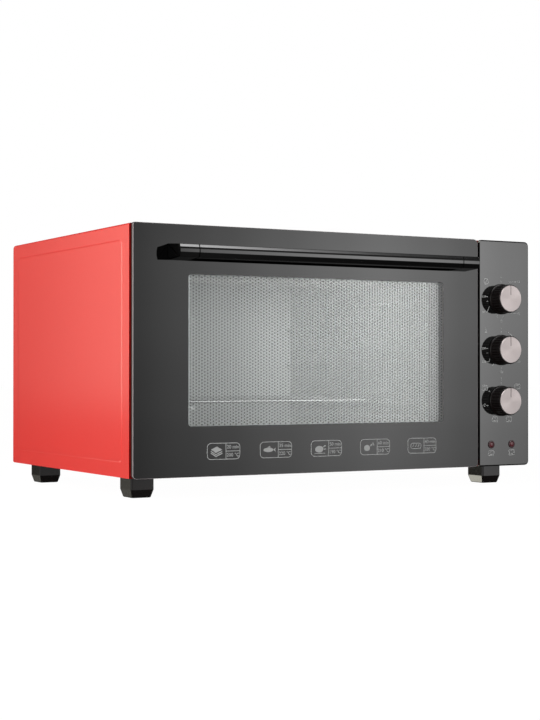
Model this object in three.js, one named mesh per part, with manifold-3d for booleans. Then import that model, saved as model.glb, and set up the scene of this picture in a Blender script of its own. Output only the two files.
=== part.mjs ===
// Mini oven: a sheet steel cabinet with a drop-down glass door, a wire rack and three rotary controls.
// Lengths are in millimetres. While it is built, x runs from the cabinet's left side to the right,
// y from the glass front to the back, and z up from the cabinet's underside.

import * as THREE from 'three'
import { mergeVertices } from 'three/addons/utils/BufferGeometryUtils.js'
import Module from 'manifold-3d'

const wasm = await Module()
wasm.setup()

// Cabinet
const width = 600
const bodyHeight = 308.6
const bodyDepth = 413.5
const sheet = 1
const fitGap = 0.3
const overrun = 4
const frontSetback = 13.2
const lipWidth = 9
const wrapperBend = 2.5
const sideBeadFront = 24.8
const sideBeadBack = 21.5
const sideBeadTop = 20.6
const sideBeadBottom = 20
const sideBeadWidth = 4
const sideBeadDepth = 0.6
const sideBeadCorner = 8

// Glass front
const glassThickness = 5.5
const fasciaWidth = 83
const doorSplit = 3.5
const doorCorner = 5
const doorTopLeftCorner = 3
const fasciaInnerCorner = 1
const fasciaOuterCorner = 6

// Door
const windowLeft = 74.1
const windowBottom = 62
const windowRightMargin = 58.7
const windowTopMargin = 60.3
const panInset = 12
const panGap = 0.3
const panOpeningMargin = 9.5
const innerGlassThickness = 3
const innerGlassMargin = 6
const doorCornerSmall = 4

// Handle
const handleReach = 33
const handleLeft = 46
const handleRightInset = 21.5
const handleDrop = 33.85
const handleCapWidth = 27.2
const handleFootBelow = 10.45
const handleFootAbove = 9.65
const handleNoseBelow = 8.3
const handleNoseAbove = 7.45
const handleFaceHeight = 6.5
const handleNoseRound = 2.4
const handleBarDepth = 13.5
const handleBarWall = 2
const handleSpigotLength = 12
const handleScrewRadius = 2
const handleScrewHeadRadius = 4
const handleScrewHeadThickness = 2.2
const handleScrewGrip = 12

// Door hinge
const hingeSetback = 18
const hingeHeight = 7
const hingeInset = 40
const hingePinRadius = 2
const hingeRunning = 0.35
const hingeEyeRadius = 4.4
const hingeArmThickness = 3
const hingeFlangeWidth = 10
const hingeFlangeBottom = 10
const hingeFlangeTop = 38
const hingeFlangeThickness = 1.5
const hingeBracketWidth = 14
const hingeEarThickness = 1.5
const hingeEarFront = 3.2
const hingeEarBack = 8
const hingeEarHeight = 12
const hingeBracketLength = 28
const hingeSlotMargin = 1.5
const hingeSlotTop = 45
const hingeSpringRadius = 4.2
const hingeSpringLength = 3.2

// Oven cavity
const cavitySideOverlap = 9.35
const cavityTopMargin = 28.4
const cavityBottom = 30.2
const cavityBackMargin = 23.3
const guideThickness = 0.8
const guideRibReach = 7
const guideRibHeight = 4
const guideEndGap = 2
const guideTopGap = 20.2
const guideBottomGap = 39.8
const rackRise = 56.3
const guideLevelPitch = 54
const guideLevels = 3

// Wire rack
const rackFront = 92
const rackBackGap = 8.2
const rackSideGap = 1
const rackFrameRadius = 2.5
const rackWireRadius = 1.5
const rackStayRadius = 2
const rackCorner = 12
const rackWireCount = 15

// Heaters
const heaterRadius = 3.25
const heaterFront = 160
const heaterSpacing = 56
const heaterBend = 22
const upperHeaterDrop = 27.2
const lowerHeaterRise = 19.8
const heaterLeftGap = 30
const heaterFlangeLength = 84
const heaterFlangeHeight = 16
const heaterFlangeThickness = 1.5
const heaterTerminalLength = 30
const heaterTerminalRadius = 1.6

// Thermostat bulb
const bulbRadius = 3
const bulbLength = 84
const bulbFront = 110
const bulbDrop = 58.2
const capillaryRadius = 1

// Control section
const fasciaGap = 3
const knobInset = 35.4
const knobTopDrop = 80.3
const knobBottomHeight = 89
const knobClearance = 0.6
const knobReach = 21.3
const knobRimRadius = 20.8
const knobRimThickness = 2
const knobGripRadius = 19.4
const knobFluteDepth = 0.7
const knobFluteCount = 28
const knobCapRadius = 17.9
const knobCapThickness = 2
const knobBoreDepth = 13
const shaftRadius = 3
const shaftFit = 0.25
const shaftTipGap = 0.5
const shaftDepth = 14
const bushRadius = 4
const bushHoleRadius = 4.5
const controlDepth = 34
const timerRadius = 24
const thermostatWidth = 42
const thermostatHeight = 36
const selectorRadius = 21
const lampSpacing = 34.9
const lampShift = 0.15
const lampHeight = 29.5
const lampRadius = 5
const lampBodyRadius = 4.4
const lampHoleRadius = 4.8
const lampProud = 1.2
const lampLength = 24
const partitionInset = 8.5
const partitionFoot = 10
const partitionHoleRadius = 12
const controlOpeningMargin = 15

// Electrical parts at the back
const terminalWidth = 34
const terminalDepth = 18
const terminalHeight = 14
const terminalSetback = 62
const glandHeight = 42
const glandProud = 6
const glandFlangeRadius = 11
const glandNeckRadius = 8
const glandBoreRadius = 4
const glandTail = 8
const glandHoleGap = 0.3
const wireRadius = 2.4
const trunkSetback = 58

// Feet
const footHeight = 26
const footWidth = 31
const footDepth = 34.8
const footStraight = 14.5
const footTaper = 3.2
const footLeftInset = 15.5
const footRightInset = 19.2
const footFront = 39
const footRearInset = 33
const footScrewRadius = 2
const footScrewHole = 2.4
const footScrewHead = 4
const footScrewHeadThickness = 2.6
const footRecessRadius = 5
const footRecessDepth = 12
const footScrewProud = 4

// Back panel
const ventWidth = 46
const ventHeight = 4
const ventPitch = 12
const ventRows = 5
const ventColumns = 4
const ventSpacing = 66
const ventDrop = 40.6
const backScrewRadius = 1.7
const backScrewHole = 2
const backScrewHead = 3.5
const backScrewHeadThickness = 2
const backScrewLength = 9
const backScrewCornerDrop = 30

// Fineness of round shapes: steps in half a turn, in a corner's half and in a bend, and sides of a wire
const roundSegments = 16
const pinSegments = 6
const cornerSegments = 2
const bendSegments = 4
const wireSegments = 4
const wireSides = 8
const rackWireSegments = 3

// Places worked out from the sizes above
const doorWidth = width - fasciaWidth - doorSplit
const fasciaLeft = width - fasciaWidth
const glassBack = glassThickness
const panBack = frontSetback - panGap
const frameFront = frontSetback + sheet
const frameBack = frameFront + sheet
const windowRight = doorWidth - windowRightMargin
const windowTop = bodyHeight - windowTopMargin
const windowCentre = (windowLeft + windowRight) / 2
const cavityLeft = windowLeft + cavitySideOverlap
const cavityRight = windowRight - cavitySideOverlap
const cavityTop = bodyHeight - cavityTopMargin
const cavityBack = bodyDepth - cavityBackMargin
const rackLevel = cavityBottom + rackRise
const upperHeaterHeight = cavityTop - upperHeaterDrop
const lowerHeaterHeight = cavityBottom + lowerHeaterRise
const bulbHeight = cavityTop - bulbDrop
const innerLeft = sheet + fitGap
const innerRight = width - sheet - fitGap
const innerTop = bodyHeight - sheet - fitGap
const hingeColumns = [hingeInset, doorWidth - hingeInset]
const handleRight = doorWidth - handleRightInset
const handleHeight = bodyHeight - handleDrop
const bottomOfBack = bodyDepth - sheet
const controlFront = glassBack + sheet
const controlBack = controlFront + controlDepth
const knobColumn = fasciaLeft + knobInset
const knobTopHeight = bodyHeight - knobTopDrop
const knobHeights = [knobTopHeight, (knobTopHeight + knobBottomHeight) / 2, knobBottomHeight]
const lampColumns = [-1, 1].map(side => knobColumn + lampShift + side * lampSpacing / 2)
const partitionColumn = doorWidth - partitionInset
const partitionHoleHeight = bodyHeight / 2
const footColumns = [footLeftInset, width - footRightInset - footWidth]
const footRows = [footFront, bodyDepth - footRearInset - footDepth]
const heaterRight = cavityRight + sheet

// Solids from three.js shapes

function solidOf(geometry) {
  const bare = geometry.index ? geometry : mergeVertices(geometry)
  bare.deleteAttribute('normal')
  bare.deleteAttribute('uv')
  const merged = mergeVertices(bare)
  return new wasm.Manifold(new wasm.Mesh({
    numProp: 3,
    vertProperties: new Float32Array(merged.attributes.position.array),
    triVerts: new Uint32Array(merged.index.array)
  }))
}

function geometryOf(solid) {
  const { vertProperties, triVerts } = solid.getMesh()
  const geometry = new THREE.BufferGeometry()
  geometry.setAttribute('position', new THREE.BufferAttribute(new Float32Array(vertProperties), 3))
  geometry.setIndex(new THREE.BufferAttribute(new Uint32Array(triVerts), 1))
  geometry.computeVertexNormals()
  return geometry
}

// A geometry of unit length along its own z, stretched and turned to its place in one step
function placed(geometry, alongX, alongY, alongZ, start) {
  const turn = new THREE.Matrix4().makeBasis(
    new THREE.Vector3(...alongX), new THREE.Vector3(...alongY), new THREE.Vector3(...alongZ))
  return solidOf(geometry.applyMatrix4(turn.setPosition(...start)))
}

function block(x0, x1, y0, y1, z0, z1) {
  const middle = [(x0 + x1) / 2, (y0 + y1) / 2, (z0 + z1) / 2]
  return placed(new THREE.BoxGeometry(1, 1, 1), [x1 - x0, 0, 0], [0, y1 - y0, 0], [0, 0, z1 - z0], middle)
}

function extrude(shape, segments) {
  return new THREE.ExtrudeGeometry(shape, { depth: 1, bevelEnabled: false, curveSegments: segments })
}

// A shape drawn in x and z, as seen from the front, made solid from one y to another
function frontPrism(shape, y0, y1, segments = cornerSegments) {
  return placed(extrude(shape, segments), [1, 0, 0], [0, 0, 1], [0, y0 - y1, 0], [0, y1, 0])
}

// A shape drawn in y and z, as seen from the side, made solid from one x to another
function sidePrism(shape, x0, x1, segments = cornerSegments) {
  return placed(extrude(shape, segments), [0, 1, 0], [0, 0, 1], [x1 - x0, 0, 0], [x0, 0, 0])
}

function planPrism(shape, z0, z1, segments = cornerSegments) {
  return placed(extrude(shape, segments), [1, 0, 0], [0, 1, 0], [0, 0, z1 - z0], [0, 0, z0])
}

function disc(a, b, radius) {
  const shape = new THREE.Shape()
  shape.absarc(a, b, radius, 0, 2 * Math.PI, false)
  return shape
}

function rodAlongY(x, z, radius, y0, y1, segments = pinSegments) {
  return frontPrism(disc(x, z, radius), y0, y1, segments)
}

function rodAlongX(y, z, radius, x0, x1, segments = pinSegments) {
  return sidePrism(disc(y, z, radius), x0, x1, segments)
}

function rodAlongZ(x, y, radius, z0, z1, segments = pinSegments) {
  return planPrism(disc(x, y, radius), z0, z1, segments)
}

// A rectangle with its corners rounded: radii run lower left, lower right, upper right, upper left
function roundedRectangle(a0, a1, b0, b1, radii) {
  const [lowerLeft, lowerRight, upperRight, upperLeft] = Array.isArray(radii) ? radii : Array(4).fill(radii)
  const quarter = Math.PI / 2
  const shape = new THREE.Shape()
  shape.moveTo(a0 + lowerLeft, b0)
  shape.lineTo(a1 - lowerRight, b0)
  if (lowerRight > 0) shape.absarc(a1 - lowerRight, b0 + lowerRight, lowerRight, -quarter, 0, false)
  shape.lineTo(a1, b1 - upperRight)
  if (upperRight > 0) shape.absarc(a1 - upperRight, b1 - upperRight, upperRight, 0, quarter, false)
  shape.lineTo(a0 + upperLeft, b1)
  if (upperLeft > 0) shape.absarc(a0 + upperLeft, b1 - upperLeft, upperLeft, quarter, 2 * quarter, false)
  shape.lineTo(a0, b0 + lowerLeft)
  if (lowerLeft > 0) shape.absarc(a0 + lowerLeft, b0 + lowerLeft, lowerLeft, 2 * quarter, 3 * quarter, false)
  return shape
}

function outline(points) {
  const shape = new THREE.Shape()
  points.forEach(([a, b], index) => (index ? shape.lineTo(a, b) : shape.moveTo(a, b)))
  return shape
}

// A round wire along straight runs joined by bends of one radius
function wire(points, radius, bend = 0, sides = wireSides, bendSteps = bendSegments) {
  const corners = points.map(point => new THREE.Vector3(...point))
  const stations = [corners[0]]
  for (let index = 1; index < corners.length - 1; index++) {
    const before = corners[index - 1].clone().sub(corners[index]).normalize().multiplyScalar(bend)
    const after = corners[index + 1].clone().sub(corners[index]).normalize().multiplyScalar(bend)
    const curve = new THREE.QuadraticBezierCurve3(
      corners[index].clone().add(before), corners[index], corners[index].clone().add(after))
    stations.push(...(bend > 0 ? curve.getPoints(bendSteps) : [corners[index]]))
  }
  stations.push(corners[corners.length - 1])
  return sweep(stations, radius, sides)
}

// Rings of points square to the path, joined into one closed tube
function sweep(stations, radius, sides) {
  const positions = []
  const indices = []
  const last = stations.length - 1
  let across = null
  stations.forEach((station, index) => {
    const ahead = stations[Math.min(index + 1, last)].clone().sub(stations[Math.max(index - 1, 0)]).normalize()
    const start = Math.abs(ahead.z) < Math.SQRT1_2 ? new THREE.Vector3(0, 0, 1) : new THREE.Vector3(0, 1, 0)
    across = (across ?? start).clone().addScaledVector(ahead, -(across ?? start).dot(ahead)).normalize()
    const third = ahead.clone().cross(across)
    for (let side = 0; side < sides; side++) {
      const angle = (2 * Math.PI * side) / sides
      const point = station.clone()
        .addScaledVector(across, radius * Math.cos(angle))
        .addScaledVector(third, radius * Math.sin(angle))
      positions.push(point.x, point.y, point.z)
    }
  })
  for (let ring = 0; ring < last; ring++) {
    for (let side = 0; side < sides; side++) {
      const next = (side + 1) % sides
      const [a, b] = [ring * sides + side, ring * sides + next]
      indices.push(a, b, b + sides, a, b + sides, a + sides)
    }
  }
  for (let side = 1; side < sides - 1; side++) {
    indices.push(0, side + 1, side, last * sides, last * sides + side, last * sides + side + 1)
  }
  const geometry = new THREE.BufferGeometry()
  geometry.setAttribute('position', new THREE.Float32BufferAttribute(positions, 3))
  geometry.setIndex(indices)
  return solidOf(geometry)
}

// A block whose lower face is smaller than its upper face by an inset on each side
function taperedBlock(x0, x1, y0, y1, z0, z1, inset) {
  const positions = []
  for (const [z, cut] of [[z0, inset], [z1, 0]]) {
    positions.push(x0 + cut, y0 + cut, z, x1 - cut, y0 + cut, z, x1 - cut, y1 - cut, z, x0 + cut, y1 - cut, z)
  }
  const geometry = new THREE.BufferGeometry()
  geometry.setAttribute('position', new THREE.Float32BufferAttribute(positions, 3))
  const walls = [0, 1, 2, 3].flatMap(a => [a, (a + 1) % 4, ((a + 1) % 4) + 4, a, ((a + 1) % 4) + 4, a + 4])
  geometry.setIndex([0, 2, 1, 0, 3, 2, 4, 5, 6, 4, 6, 7, ...walls])
  return solidOf(geometry)
}

// Cabinet

// Red sheet over the top and both sides, with lips turned in at the front and the back
function outerWrapper() {
  const round = [0, 0, wrapperBend, wrapperBend]
  const innerRound = [0, 0, wrapperBend - sheet, wrapperBend - sheet]
  const outside = roundedRectangle(0, width, 0, bodyHeight, round)
  const inside = roundedRectangle(sheet, width - sheet, -overrun, bodyHeight - sheet, innerRound)
  const lipInside = roundedRectangle(
    sheet + lipWidth, width - sheet - lipWidth, -overrun, bodyHeight - sheet - lipWidth, 0)
  let shell = frontPrism(outside, frontSetback, bodyDepth)
    .subtract(frontPrism(inside, frontSetback + sheet, bottomOfBack - sheet))
    .subtract(frontPrism(inside, bottomOfBack, bodyDepth + overrun))
    .subtract(frontPrism(lipInside, frontSetback - overrun, bodyDepth + overrun))
  for (const x of backScrewColumns()) {
    for (const z of backScrewHeights()) {
      shell = shell.subtract(rodAlongY(x, z, backScrewHole, bottomOfBack - sheet - overrun, bodyDepth))
    }
  }
  for (const [face, inward] of [[0, 1], [width, -1]]) {
    shell = shell
      .add(sideBead(face + inward * sheet / 2, face + inward * (sheet + sideBeadDepth), fitGap))
      .subtract(sideBead(face - inward * overrun, face + inward * sideBeadDepth, 0))
  }
  return shell
}

// The pressed line that runs round a side panel: a ring seen from the side, widened by an extra margin
function sideBead(xa, xb, extra) {
  const [front, back] = [frontSetback + sideBeadFront - extra, bodyDepth - sideBeadBack + extra]
  const [bottom, top] = [sideBeadBottom - extra, bodyHeight - sideBeadTop + extra]
  const across = sideBeadWidth + 2 * extra
  const ring = roundedRectangle(front, back, bottom, top, sideBeadCorner)
  const core = roundedRectangle(
    front + across, back - across, bottom + across, top - across, sideBeadCorner - sideBeadWidth)
  const [x0, x1] = [Math.min(xa, xb), Math.max(xa, xb)]
  return sidePrism(ring, x0, x1).subtract(sidePrism(core, x0 - overrun, x1 + overrun))
}

// Floor of the cabinet, a tray with low walls, notched at the front for the hinge arms
function basePanel() {
  const inset = sheet + lipWidth + fitGap
  const wallTop = sheet + lipWidth
  const wallFront = frameBack + fitGap
  const wallBack = bottomOfBack - sheet - fitGap
  let tray = block(innerLeft, innerRight, wallFront, wallBack, 0, sheet)
    .add(block(inset, width - inset, frontSetback, bottomOfBack, 0, sheet))
    .add(block(inset, width - inset, frontSetback, frameFront, 0, wallTop))
    .add(block(inset, width - inset, bottomOfBack - sheet, bottomOfBack, 0, wallTop))
    .add(block(innerLeft, innerLeft + sheet, wallFront, wallBack, 0, wallTop))
    .add(block(innerRight - sheet, innerRight, wallFront, wallBack, 0, wallTop))
  for (const x of hingeColumns) {
    const half = hingeBracketWidth / 2 + hingeSlotMargin
    tray = tray.subtract(block(x - half, x + half, frontSetback - overrun, frameFront, sheet, bodyHeight))
  }
  for (const [x, y] of footCentres()) {
    tray = tray.subtract(rodAlongZ(x, y, footScrewHole, -overrun, sheet + overrun))
  }
  return tray
}

// Plate behind the door that closes the cabinet round the oven mouth and the control section
function frontFrame() {
  const bottom = sheet + fitGap
  const left = innerLeft + fitGap
  const right = innerRight - fitGap
  const round = [0, 0, wrapperBend, wrapperBend]
  let frame = frontPrism(roundedRectangle(left, right, bottom, innerTop, round), frameFront, frameBack)
    .subtract(frontPrism(
      roundedRectangle(cavityLeft, cavityRight, cavityBottom, cavityTop, doorCorner),
      frameFront - overrun, frameBack + overrun))
    .subtract(frontPrism(controlOpening(), frameFront - overrun, frameBack + overrun))
  const half = hingeBracketWidth / 2 + hingeSlotMargin
  for (const x of hingeColumns) {
    frame = frame.subtract(
      block(x - half, x + half, frameFront - overrun, frameBack + overrun, -overrun, hingeSlotTop))
  }
  return frame
}

function controlOpening() {
  return roundedRectangle(
    fasciaLeft + fasciaGap * 2, width - sheet - lipWidth - fasciaGap,
    controlOpeningMargin, bodyHeight - controlOpeningMargin, doorCorner)
}

// Back of the cabinet, with vent slots and the hole for the cord bush
function backPanel() {
  const round = [0, 0, wrapperBend, wrapperBend]
  let panel = frontPrism(
    roundedRectangle(innerLeft, innerRight, fitGap, innerTop, round), bottomOfBack, bodyDepth)
  for (let row = 0; row < ventRows; row++) {
    for (let column = 0; column < ventColumns; column++) {
      const x = windowCentre + (column - (ventColumns - 1) / 2) * ventSpacing
      panel = panel.subtract(ventSlot(x, row))
    }
    panel = panel.subtract(ventSlot(knobColumn, row))
  }
  for (const x of backScrewColumns()) {
    for (const z of backScrewHeights()) {
      panel = panel.subtract(rodAlongY(x, z, backScrewHole, bottomOfBack - overrun, bodyDepth + overrun))
    }
  }
  return panel.subtract(rodAlongY(
    knobColumn, glandHeight, glandNeckRadius + glandHoleGap, bottomOfBack - overrun, bodyDepth + overrun))
}

function ventSlot(x, row) {
  const z = bodyHeight - ventDrop - row * ventPitch
  return block(
    x - ventWidth / 2, x + ventWidth / 2, bottomOfBack - overrun, bodyDepth + overrun, z, z + ventHeight)
}

function backScrewColumns() {
  const inset = sheet + lipWidth / 2
  return [inset, width - inset]
}

function backScrewHeights() {
  return [backScrewCornerDrop, bodyHeight - backScrewCornerDrop]
}

function backScrew(x, z) {
  return rodAlongY(x, z, backScrewRadius, bodyDepth - backScrewLength, bodyDepth + sheet)
    .add(rodAlongY(x, z, backScrewHead, bodyDepth, bodyDepth + backScrewHeadThickness))
}

// Feet

function footCentres() {
  return footColumns.flatMap(x => footRows.map(y => [x + footWidth / 2, y + footDepth / 2]))
}

function foot(x, y) {
  const [x0, x1, y0, y1] = [x - footWidth / 2, x + footWidth / 2, y - footDepth / 2, y + footDepth / 2]
  return block(x0, x1, y0, y1, -footStraight, 0)
    .add(taperedBlock(x0, x1, y0, y1, -footHeight, -footStraight, footTaper))
    .subtract(rodAlongZ(x, y, footRecessRadius, -footHeight - overrun, footRecessDepth - footHeight))
    .subtract(rodAlongZ(x, y, footScrewHole, -footHeight, overrun))
}

function footScrew(x, y) {
  const headTop = footRecessDepth - footHeight
  return rodAlongZ(x, y, footScrewRadius, headTop - footScrewHeadThickness, sheet + footScrewProud)
    .add(rodAlongZ(x, y, footScrewHead, headTop - footScrewHeadThickness, headTop))
}

// Oven cavity

// Floor, roof and side walls of the cavity, one folded sleeve behind the front frame
function cavityLiner() {
  let liner = frontPrism(
    roundedRectangle(
      cavityLeft - sheet, cavityRight + sheet, cavityBottom - sheet, cavityTop + sheet, doorCorner + sheet),
    frameBack, cavityBack)
    .subtract(frontPrism(
      roundedRectangle(cavityLeft, cavityRight, cavityBottom, cavityTop, doorCorner),
      frameBack - overrun, cavityBack + overrun))
  for (const z of [upperHeaterHeight, lowerHeaterHeight]) {
    for (const y of [heaterFront, heaterFront + heaterSpacing]) {
      liner = liner.subtract(rodAlongX(
        y, z, heaterRadius + fitGap, cavityRight - overrun, cavityRight + overrun))
    }
  }
  return liner.subtract(rodAlongX(
    bulbFront + bulbLength, bulbHeight, bulbRadius, cavityRight - overrun, cavityRight + overrun))
}

function cavityBackWall() {
  return frontPrism(
    roundedRectangle(
      cavityLeft - sheet, cavityRight + sheet, cavityBottom - sheet, cavityTop + sheet, doorCorner + sheet),
    cavityBack, cavityBack + sheet)
}

// Pressed side plate with a rib under each rack level; inward is 1 on the left wall and -1 on the right
function rackGuide(wall, inward) {
  const [front, rear] = [frameBack + guideEndGap, cavityBack - guideEndGap]
  const face = wall + inward * guideThickness
  const span = (a, b) => [Math.min(a, b), Math.max(a, b)]
  let guide = block(
    ...span(wall, face), front, rear, cavityBottom + guideBottomGap, cavityTop - guideTopGap)
  for (let level = 0; level < guideLevels; level++) {
    const top = rackLevel - fitGap + level * guideLevelPitch
    guide = guide.add(block(
      ...span(wall + inward * guideThickness / 2, face + inward * guideRibReach),
      front, rear, top - guideRibHeight, top))
  }
  for (const y of [heaterFront, heaterFront + heaterSpacing]) {
    guide = guide.subtract(rodAlongX(
      y, upperHeaterHeight, heaterRadius + fitGap, wall - overrun, wall + overrun))
  }
  return guide.subtract(rodAlongX(
    bulbFront + bulbLength, bulbHeight, bulbRadius, wall - overrun, wall + overrun))
}

// Hairpin rod with its flange outside the cavity wall and two terminal pins
function heater(height) {
  const left = cavityLeft + heaterLeftGap
  const rear = heaterFront + heaterSpacing
  const middle = heaterFront + heaterSpacing / 2
  const flangeOuter = heaterRight + heaterFlangeThickness
  let rod = wire([
    [flangeOuter + sheet, heaterFront, height], [left, heaterFront, height],
    [left, rear, height], [flangeOuter + sheet, rear, height]
  ], heaterRadius, heaterBend)
  rod = rod.add(block(
    heaterRight, flangeOuter, middle - heaterFlangeLength / 2, middle + heaterFlangeLength / 2,
    height - heaterFlangeHeight / 2, height + heaterFlangeHeight / 2))
  for (const y of [heaterFront, rear]) {
    rod = rod.add(rodAlongX(y, height, heaterTerminalRadius, heaterRight, heaterRight + heaterTerminalLength))
  }
  return rod
}

// Sensing bulb on the right wall and its fine tube to the thermostat
function thermostatBulb() {
  const x = cavityRight - guideThickness - fitGap - bulbRadius
  const end = bulbFront + bulbLength
  const behind = controlBack + capillaryRadius + fitGap
  const crossing = partitionHoleHeight + partitionHoleRadius / 2
  const bulb = rodAlongY(x, bulbHeight, bulbRadius, bulbFront, end, wireSegments)
  const tube = wire([
    [x, end - overrun, bulbHeight], [x, end, bulbHeight], [heaterRight + lipWidth, end, bulbHeight],
    [heaterRight + lipWidth, end, crossing], [fasciaLeft + lipWidth, end, crossing],
    [knobColumn - thermostatWidth / 4, behind + lipWidth, knobHeights[1]],
    [knobColumn - thermostatWidth / 4, behind - capillaryRadius, knobHeights[1]]
  ], capillaryRadius)
  return bulb.add(tube)
}

function wireRack() {
  const half = (cavityRight - cavityLeft) / 2 - guideThickness - rackSideGap
  const [x0, x1] = [windowCentre - half, windowCentre + half]
  const [y0, y1] = [rackFront, cavityBack - rackBackGap]
  const height = rackLevel + rackFrameRadius
  const r = rackFrameRadius
  const middle = windowCentre
  let rack = wire([
    [middle, y0 + r, height], [x0 + r, y0 + r, height], [x0 + r, y1 - r, height],
    [x1 - r, y1 - r, height], [x1 - r, y0 + r, height], [middle, y0 + r, height]
  ], r, rackCorner)
  rack = rack.add(rodAlongX(y0 + r, height, r, middle - rackCorner, middle + rackCorner, wireSegments))
  const pitch = (x1 - x0 - 2 * r) / (rackWireCount + 1)
  for (let index = 1; index <= rackWireCount; index++) {
    rack = rack.add(rodAlongY(
      x0 + r + index * pitch, height + r, rackWireRadius, y0 + r, y1 - r, rackWireSegments))
  }
  return rack.add(rodAlongX((y0 + y1) / 2, height, rackStayRadius, x0 + r, x1 - r, wireSegments))
}

// Door

function doorGlass() {
  let glass = frontPrism(
    roundedRectangle(0, doorWidth, 0, bodyHeight, [doorCorner, doorCorner, doorCorner, doorTopLeftCorner]),
    0, glassThickness)
  for (const x of handleScrewColumns()) {
    glass = glass.subtract(rodAlongY(
      x, handleHeight, handleScrewRadius + fitGap, -overrun, glassThickness + overrun))
  }
  return glass
}

// Steel dish behind the glass, open round the window
function doorFrame() {
  const outer = roundedRectangle(panInset, doorWidth - panInset, panInset, bodyHeight - panInset, doorCorner)
  const rim = panInset + sheet
  const hollow = roundedRectangle(rim, doorWidth - rim, rim, bodyHeight - rim, doorCornerSmall)
  return frontPrism(outer, glassBack, panBack)
    .subtract(frontPrism(hollow, glassBack - overrun, panBack - sheet))
    .subtract(frontPrism(windowOutline(panOpeningMargin), glassBack - overrun, panBack + overrun))
}

function windowOutline(margin) {
  return roundedRectangle(
    windowLeft - margin, windowRight + margin, windowBottom - margin, windowTop + margin, doorCornerSmall)
}

function innerGlass() {
  const back = panBack - sheet
  return frontPrism(windowOutline(panOpeningMargin + innerGlassMargin), back - innerGlassThickness, back)
}

// Handle

function handleScrewColumns() {
  return [handleLeft + handleCapWidth / 2, handleRight - handleCapWidth / 2]
}

// Side view of the handle: a wide foot on the glass that narrows to a blunt nose
function handleProfile(inset, rear) {
  const nose = -handleReach + handleNoseRound
  const slopeTo = (foot, tip, y) => foot + (tip - foot) * (y / nose)
  const topAt = y => handleHeight + slopeTo(handleFootAbove, handleNoseAbove, y) - inset
  const bottomAt = y => handleHeight - slopeTo(handleFootBelow, handleNoseBelow, y) + inset
  const face = handleFaceHeight / 2
  return outline([
    [rear, bottomAt(rear)], [nose, bottomAt(nose)],
    [-handleReach + inset, handleHeight - face], [-handleReach + inset, handleHeight + face],
    [nose, topAt(nose)], [rear, topAt(rear)]
  ])
}

function handleBar() {
  const rear = -handleReach + handleBarDepth
  const [x0, x1] = [handleLeft + handleCapWidth, handleRight - handleCapWidth]
  return sidePrism(handleProfile(0, rear), x0, x1)
    .subtract(sidePrism(handleProfile(handleBarWall, rear - handleBarWall), x0 - overrun, x1 + overrun))
}

function handleEnd(x0, barSide) {
  const x1 = x0 + handleCapWidth
  const rear = -handleReach + handleBarDepth
  const face = barSide > 0 ? x1 : x0
  const spigotProfile = handleProfile(handleBarWall + fitGap, rear - handleBarWall - fitGap)
  const [s0, s1] = [face, face + barSide * handleSpigotLength].sort((a, b) => a - b)
  const screw = (x0 + x1) / 2
  return sidePrism(handleProfile(0, 0), x0, x1)
    .add(sidePrism(spigotProfile, s0 - sheet, s1 + sheet))
    .subtract(rodAlongY(
      screw, handleHeight, handleScrewRadius + fitGap, -handleScrewGrip - fitGap, overrun))
}

function handleScrew(x) {
  return rodAlongY(x, handleHeight, handleScrewRadius, -handleScrewGrip, glassBack + sheet)
    .add(rodAlongY(
      x, handleHeight, handleScrewHeadRadius, glassBack, glassBack + handleScrewHeadThickness))
}

// Hinges

function hingeBracket(x) {
  const half = hingeBracketWidth / 2
  const front = hingeSetback - hingeEarFront
  const foot = block(x - half, x + half, frameBack + sheet, frameBack + sheet + hingeBracketLength, sheet, 2 * sheet)
  return [x - half, x + half - hingeEarThickness].reduce((bracket, ear) => bracket
    .add(block(ear, ear + hingeEarThickness, front, hingeSetback + hingeEarBack, sheet, hingeEarHeight))
    .subtract(rodAlongX(
      hingeSetback, hingeHeight, hingePinRadius + hingeRunning, ear - overrun / 2, ear + overrun / 2)), foot)
}

function hingePin(x) {
  const half = hingeBracketWidth / 2 + sheet / 2
  return rodAlongX(hingeSetback, hingeHeight, hingePinRadius, x - half, x + half)
}

// Flat arm on the door's frame that ends in an eye round the pin
function hingeArm(x) {
  const half = hingeArmThickness / 2
  const web = outline([
    [panBack, hingeFlangeBottom], [hingeSetback - hingePinRadius, hingeHeight - hingeEyeRadius + sheet],
    [hingeSetback + hingePinRadius, hingeHeight + hingeEyeRadius - sheet / 2], [panBack, hingeFlangeTop / 2]
  ])
  return sidePrism(web, x - half, x + half)
    .add(rodAlongX(hingeSetback, hingeHeight, hingeEyeRadius, x - half, x + half))
    .add(block(
      x - hingeFlangeWidth / 2, x + hingeFlangeWidth / 2, panBack, panBack + hingeFlangeThickness,
      hingeFlangeBottom, hingeFlangeTop))
    .subtract(rodAlongX(
      hingeSetback, hingeHeight, hingePinRadius + hingeRunning, x - hingeBracketWidth, x + hingeBracketWidth))
}

function hingeSpring(x) {
  const start = x + hingeArmThickness / 2 + fitGap
  return rodAlongX(hingeSetback, hingeHeight, hingeSpringRadius, start, start + hingeSpringLength)
    .subtract(rodAlongX(
      hingeSetback, hingeHeight, hingePinRadius + hingeRunning, x - hingeBracketWidth, x + hingeBracketWidth))
}

// Control section

function controlFascia() {
  let glass = frontPrism(
    roundedRectangle(fasciaLeft, width, 0, bodyHeight,
      [fasciaInnerCorner, fasciaOuterCorner, fasciaOuterCorner, fasciaInnerCorner]),
    0, glassThickness)
  for (const z of knobHeights) {
    glass = glass.subtract(rodAlongY(knobColumn, z, bushHoleRadius, -overrun, glassThickness + overrun))
  }
  for (const x of lampColumns) {
    glass = glass.subtract(rodAlongY(x, lampHeight, lampHoleRadius, -overrun, glassThickness + overrun))
  }
  return glass
}

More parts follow.
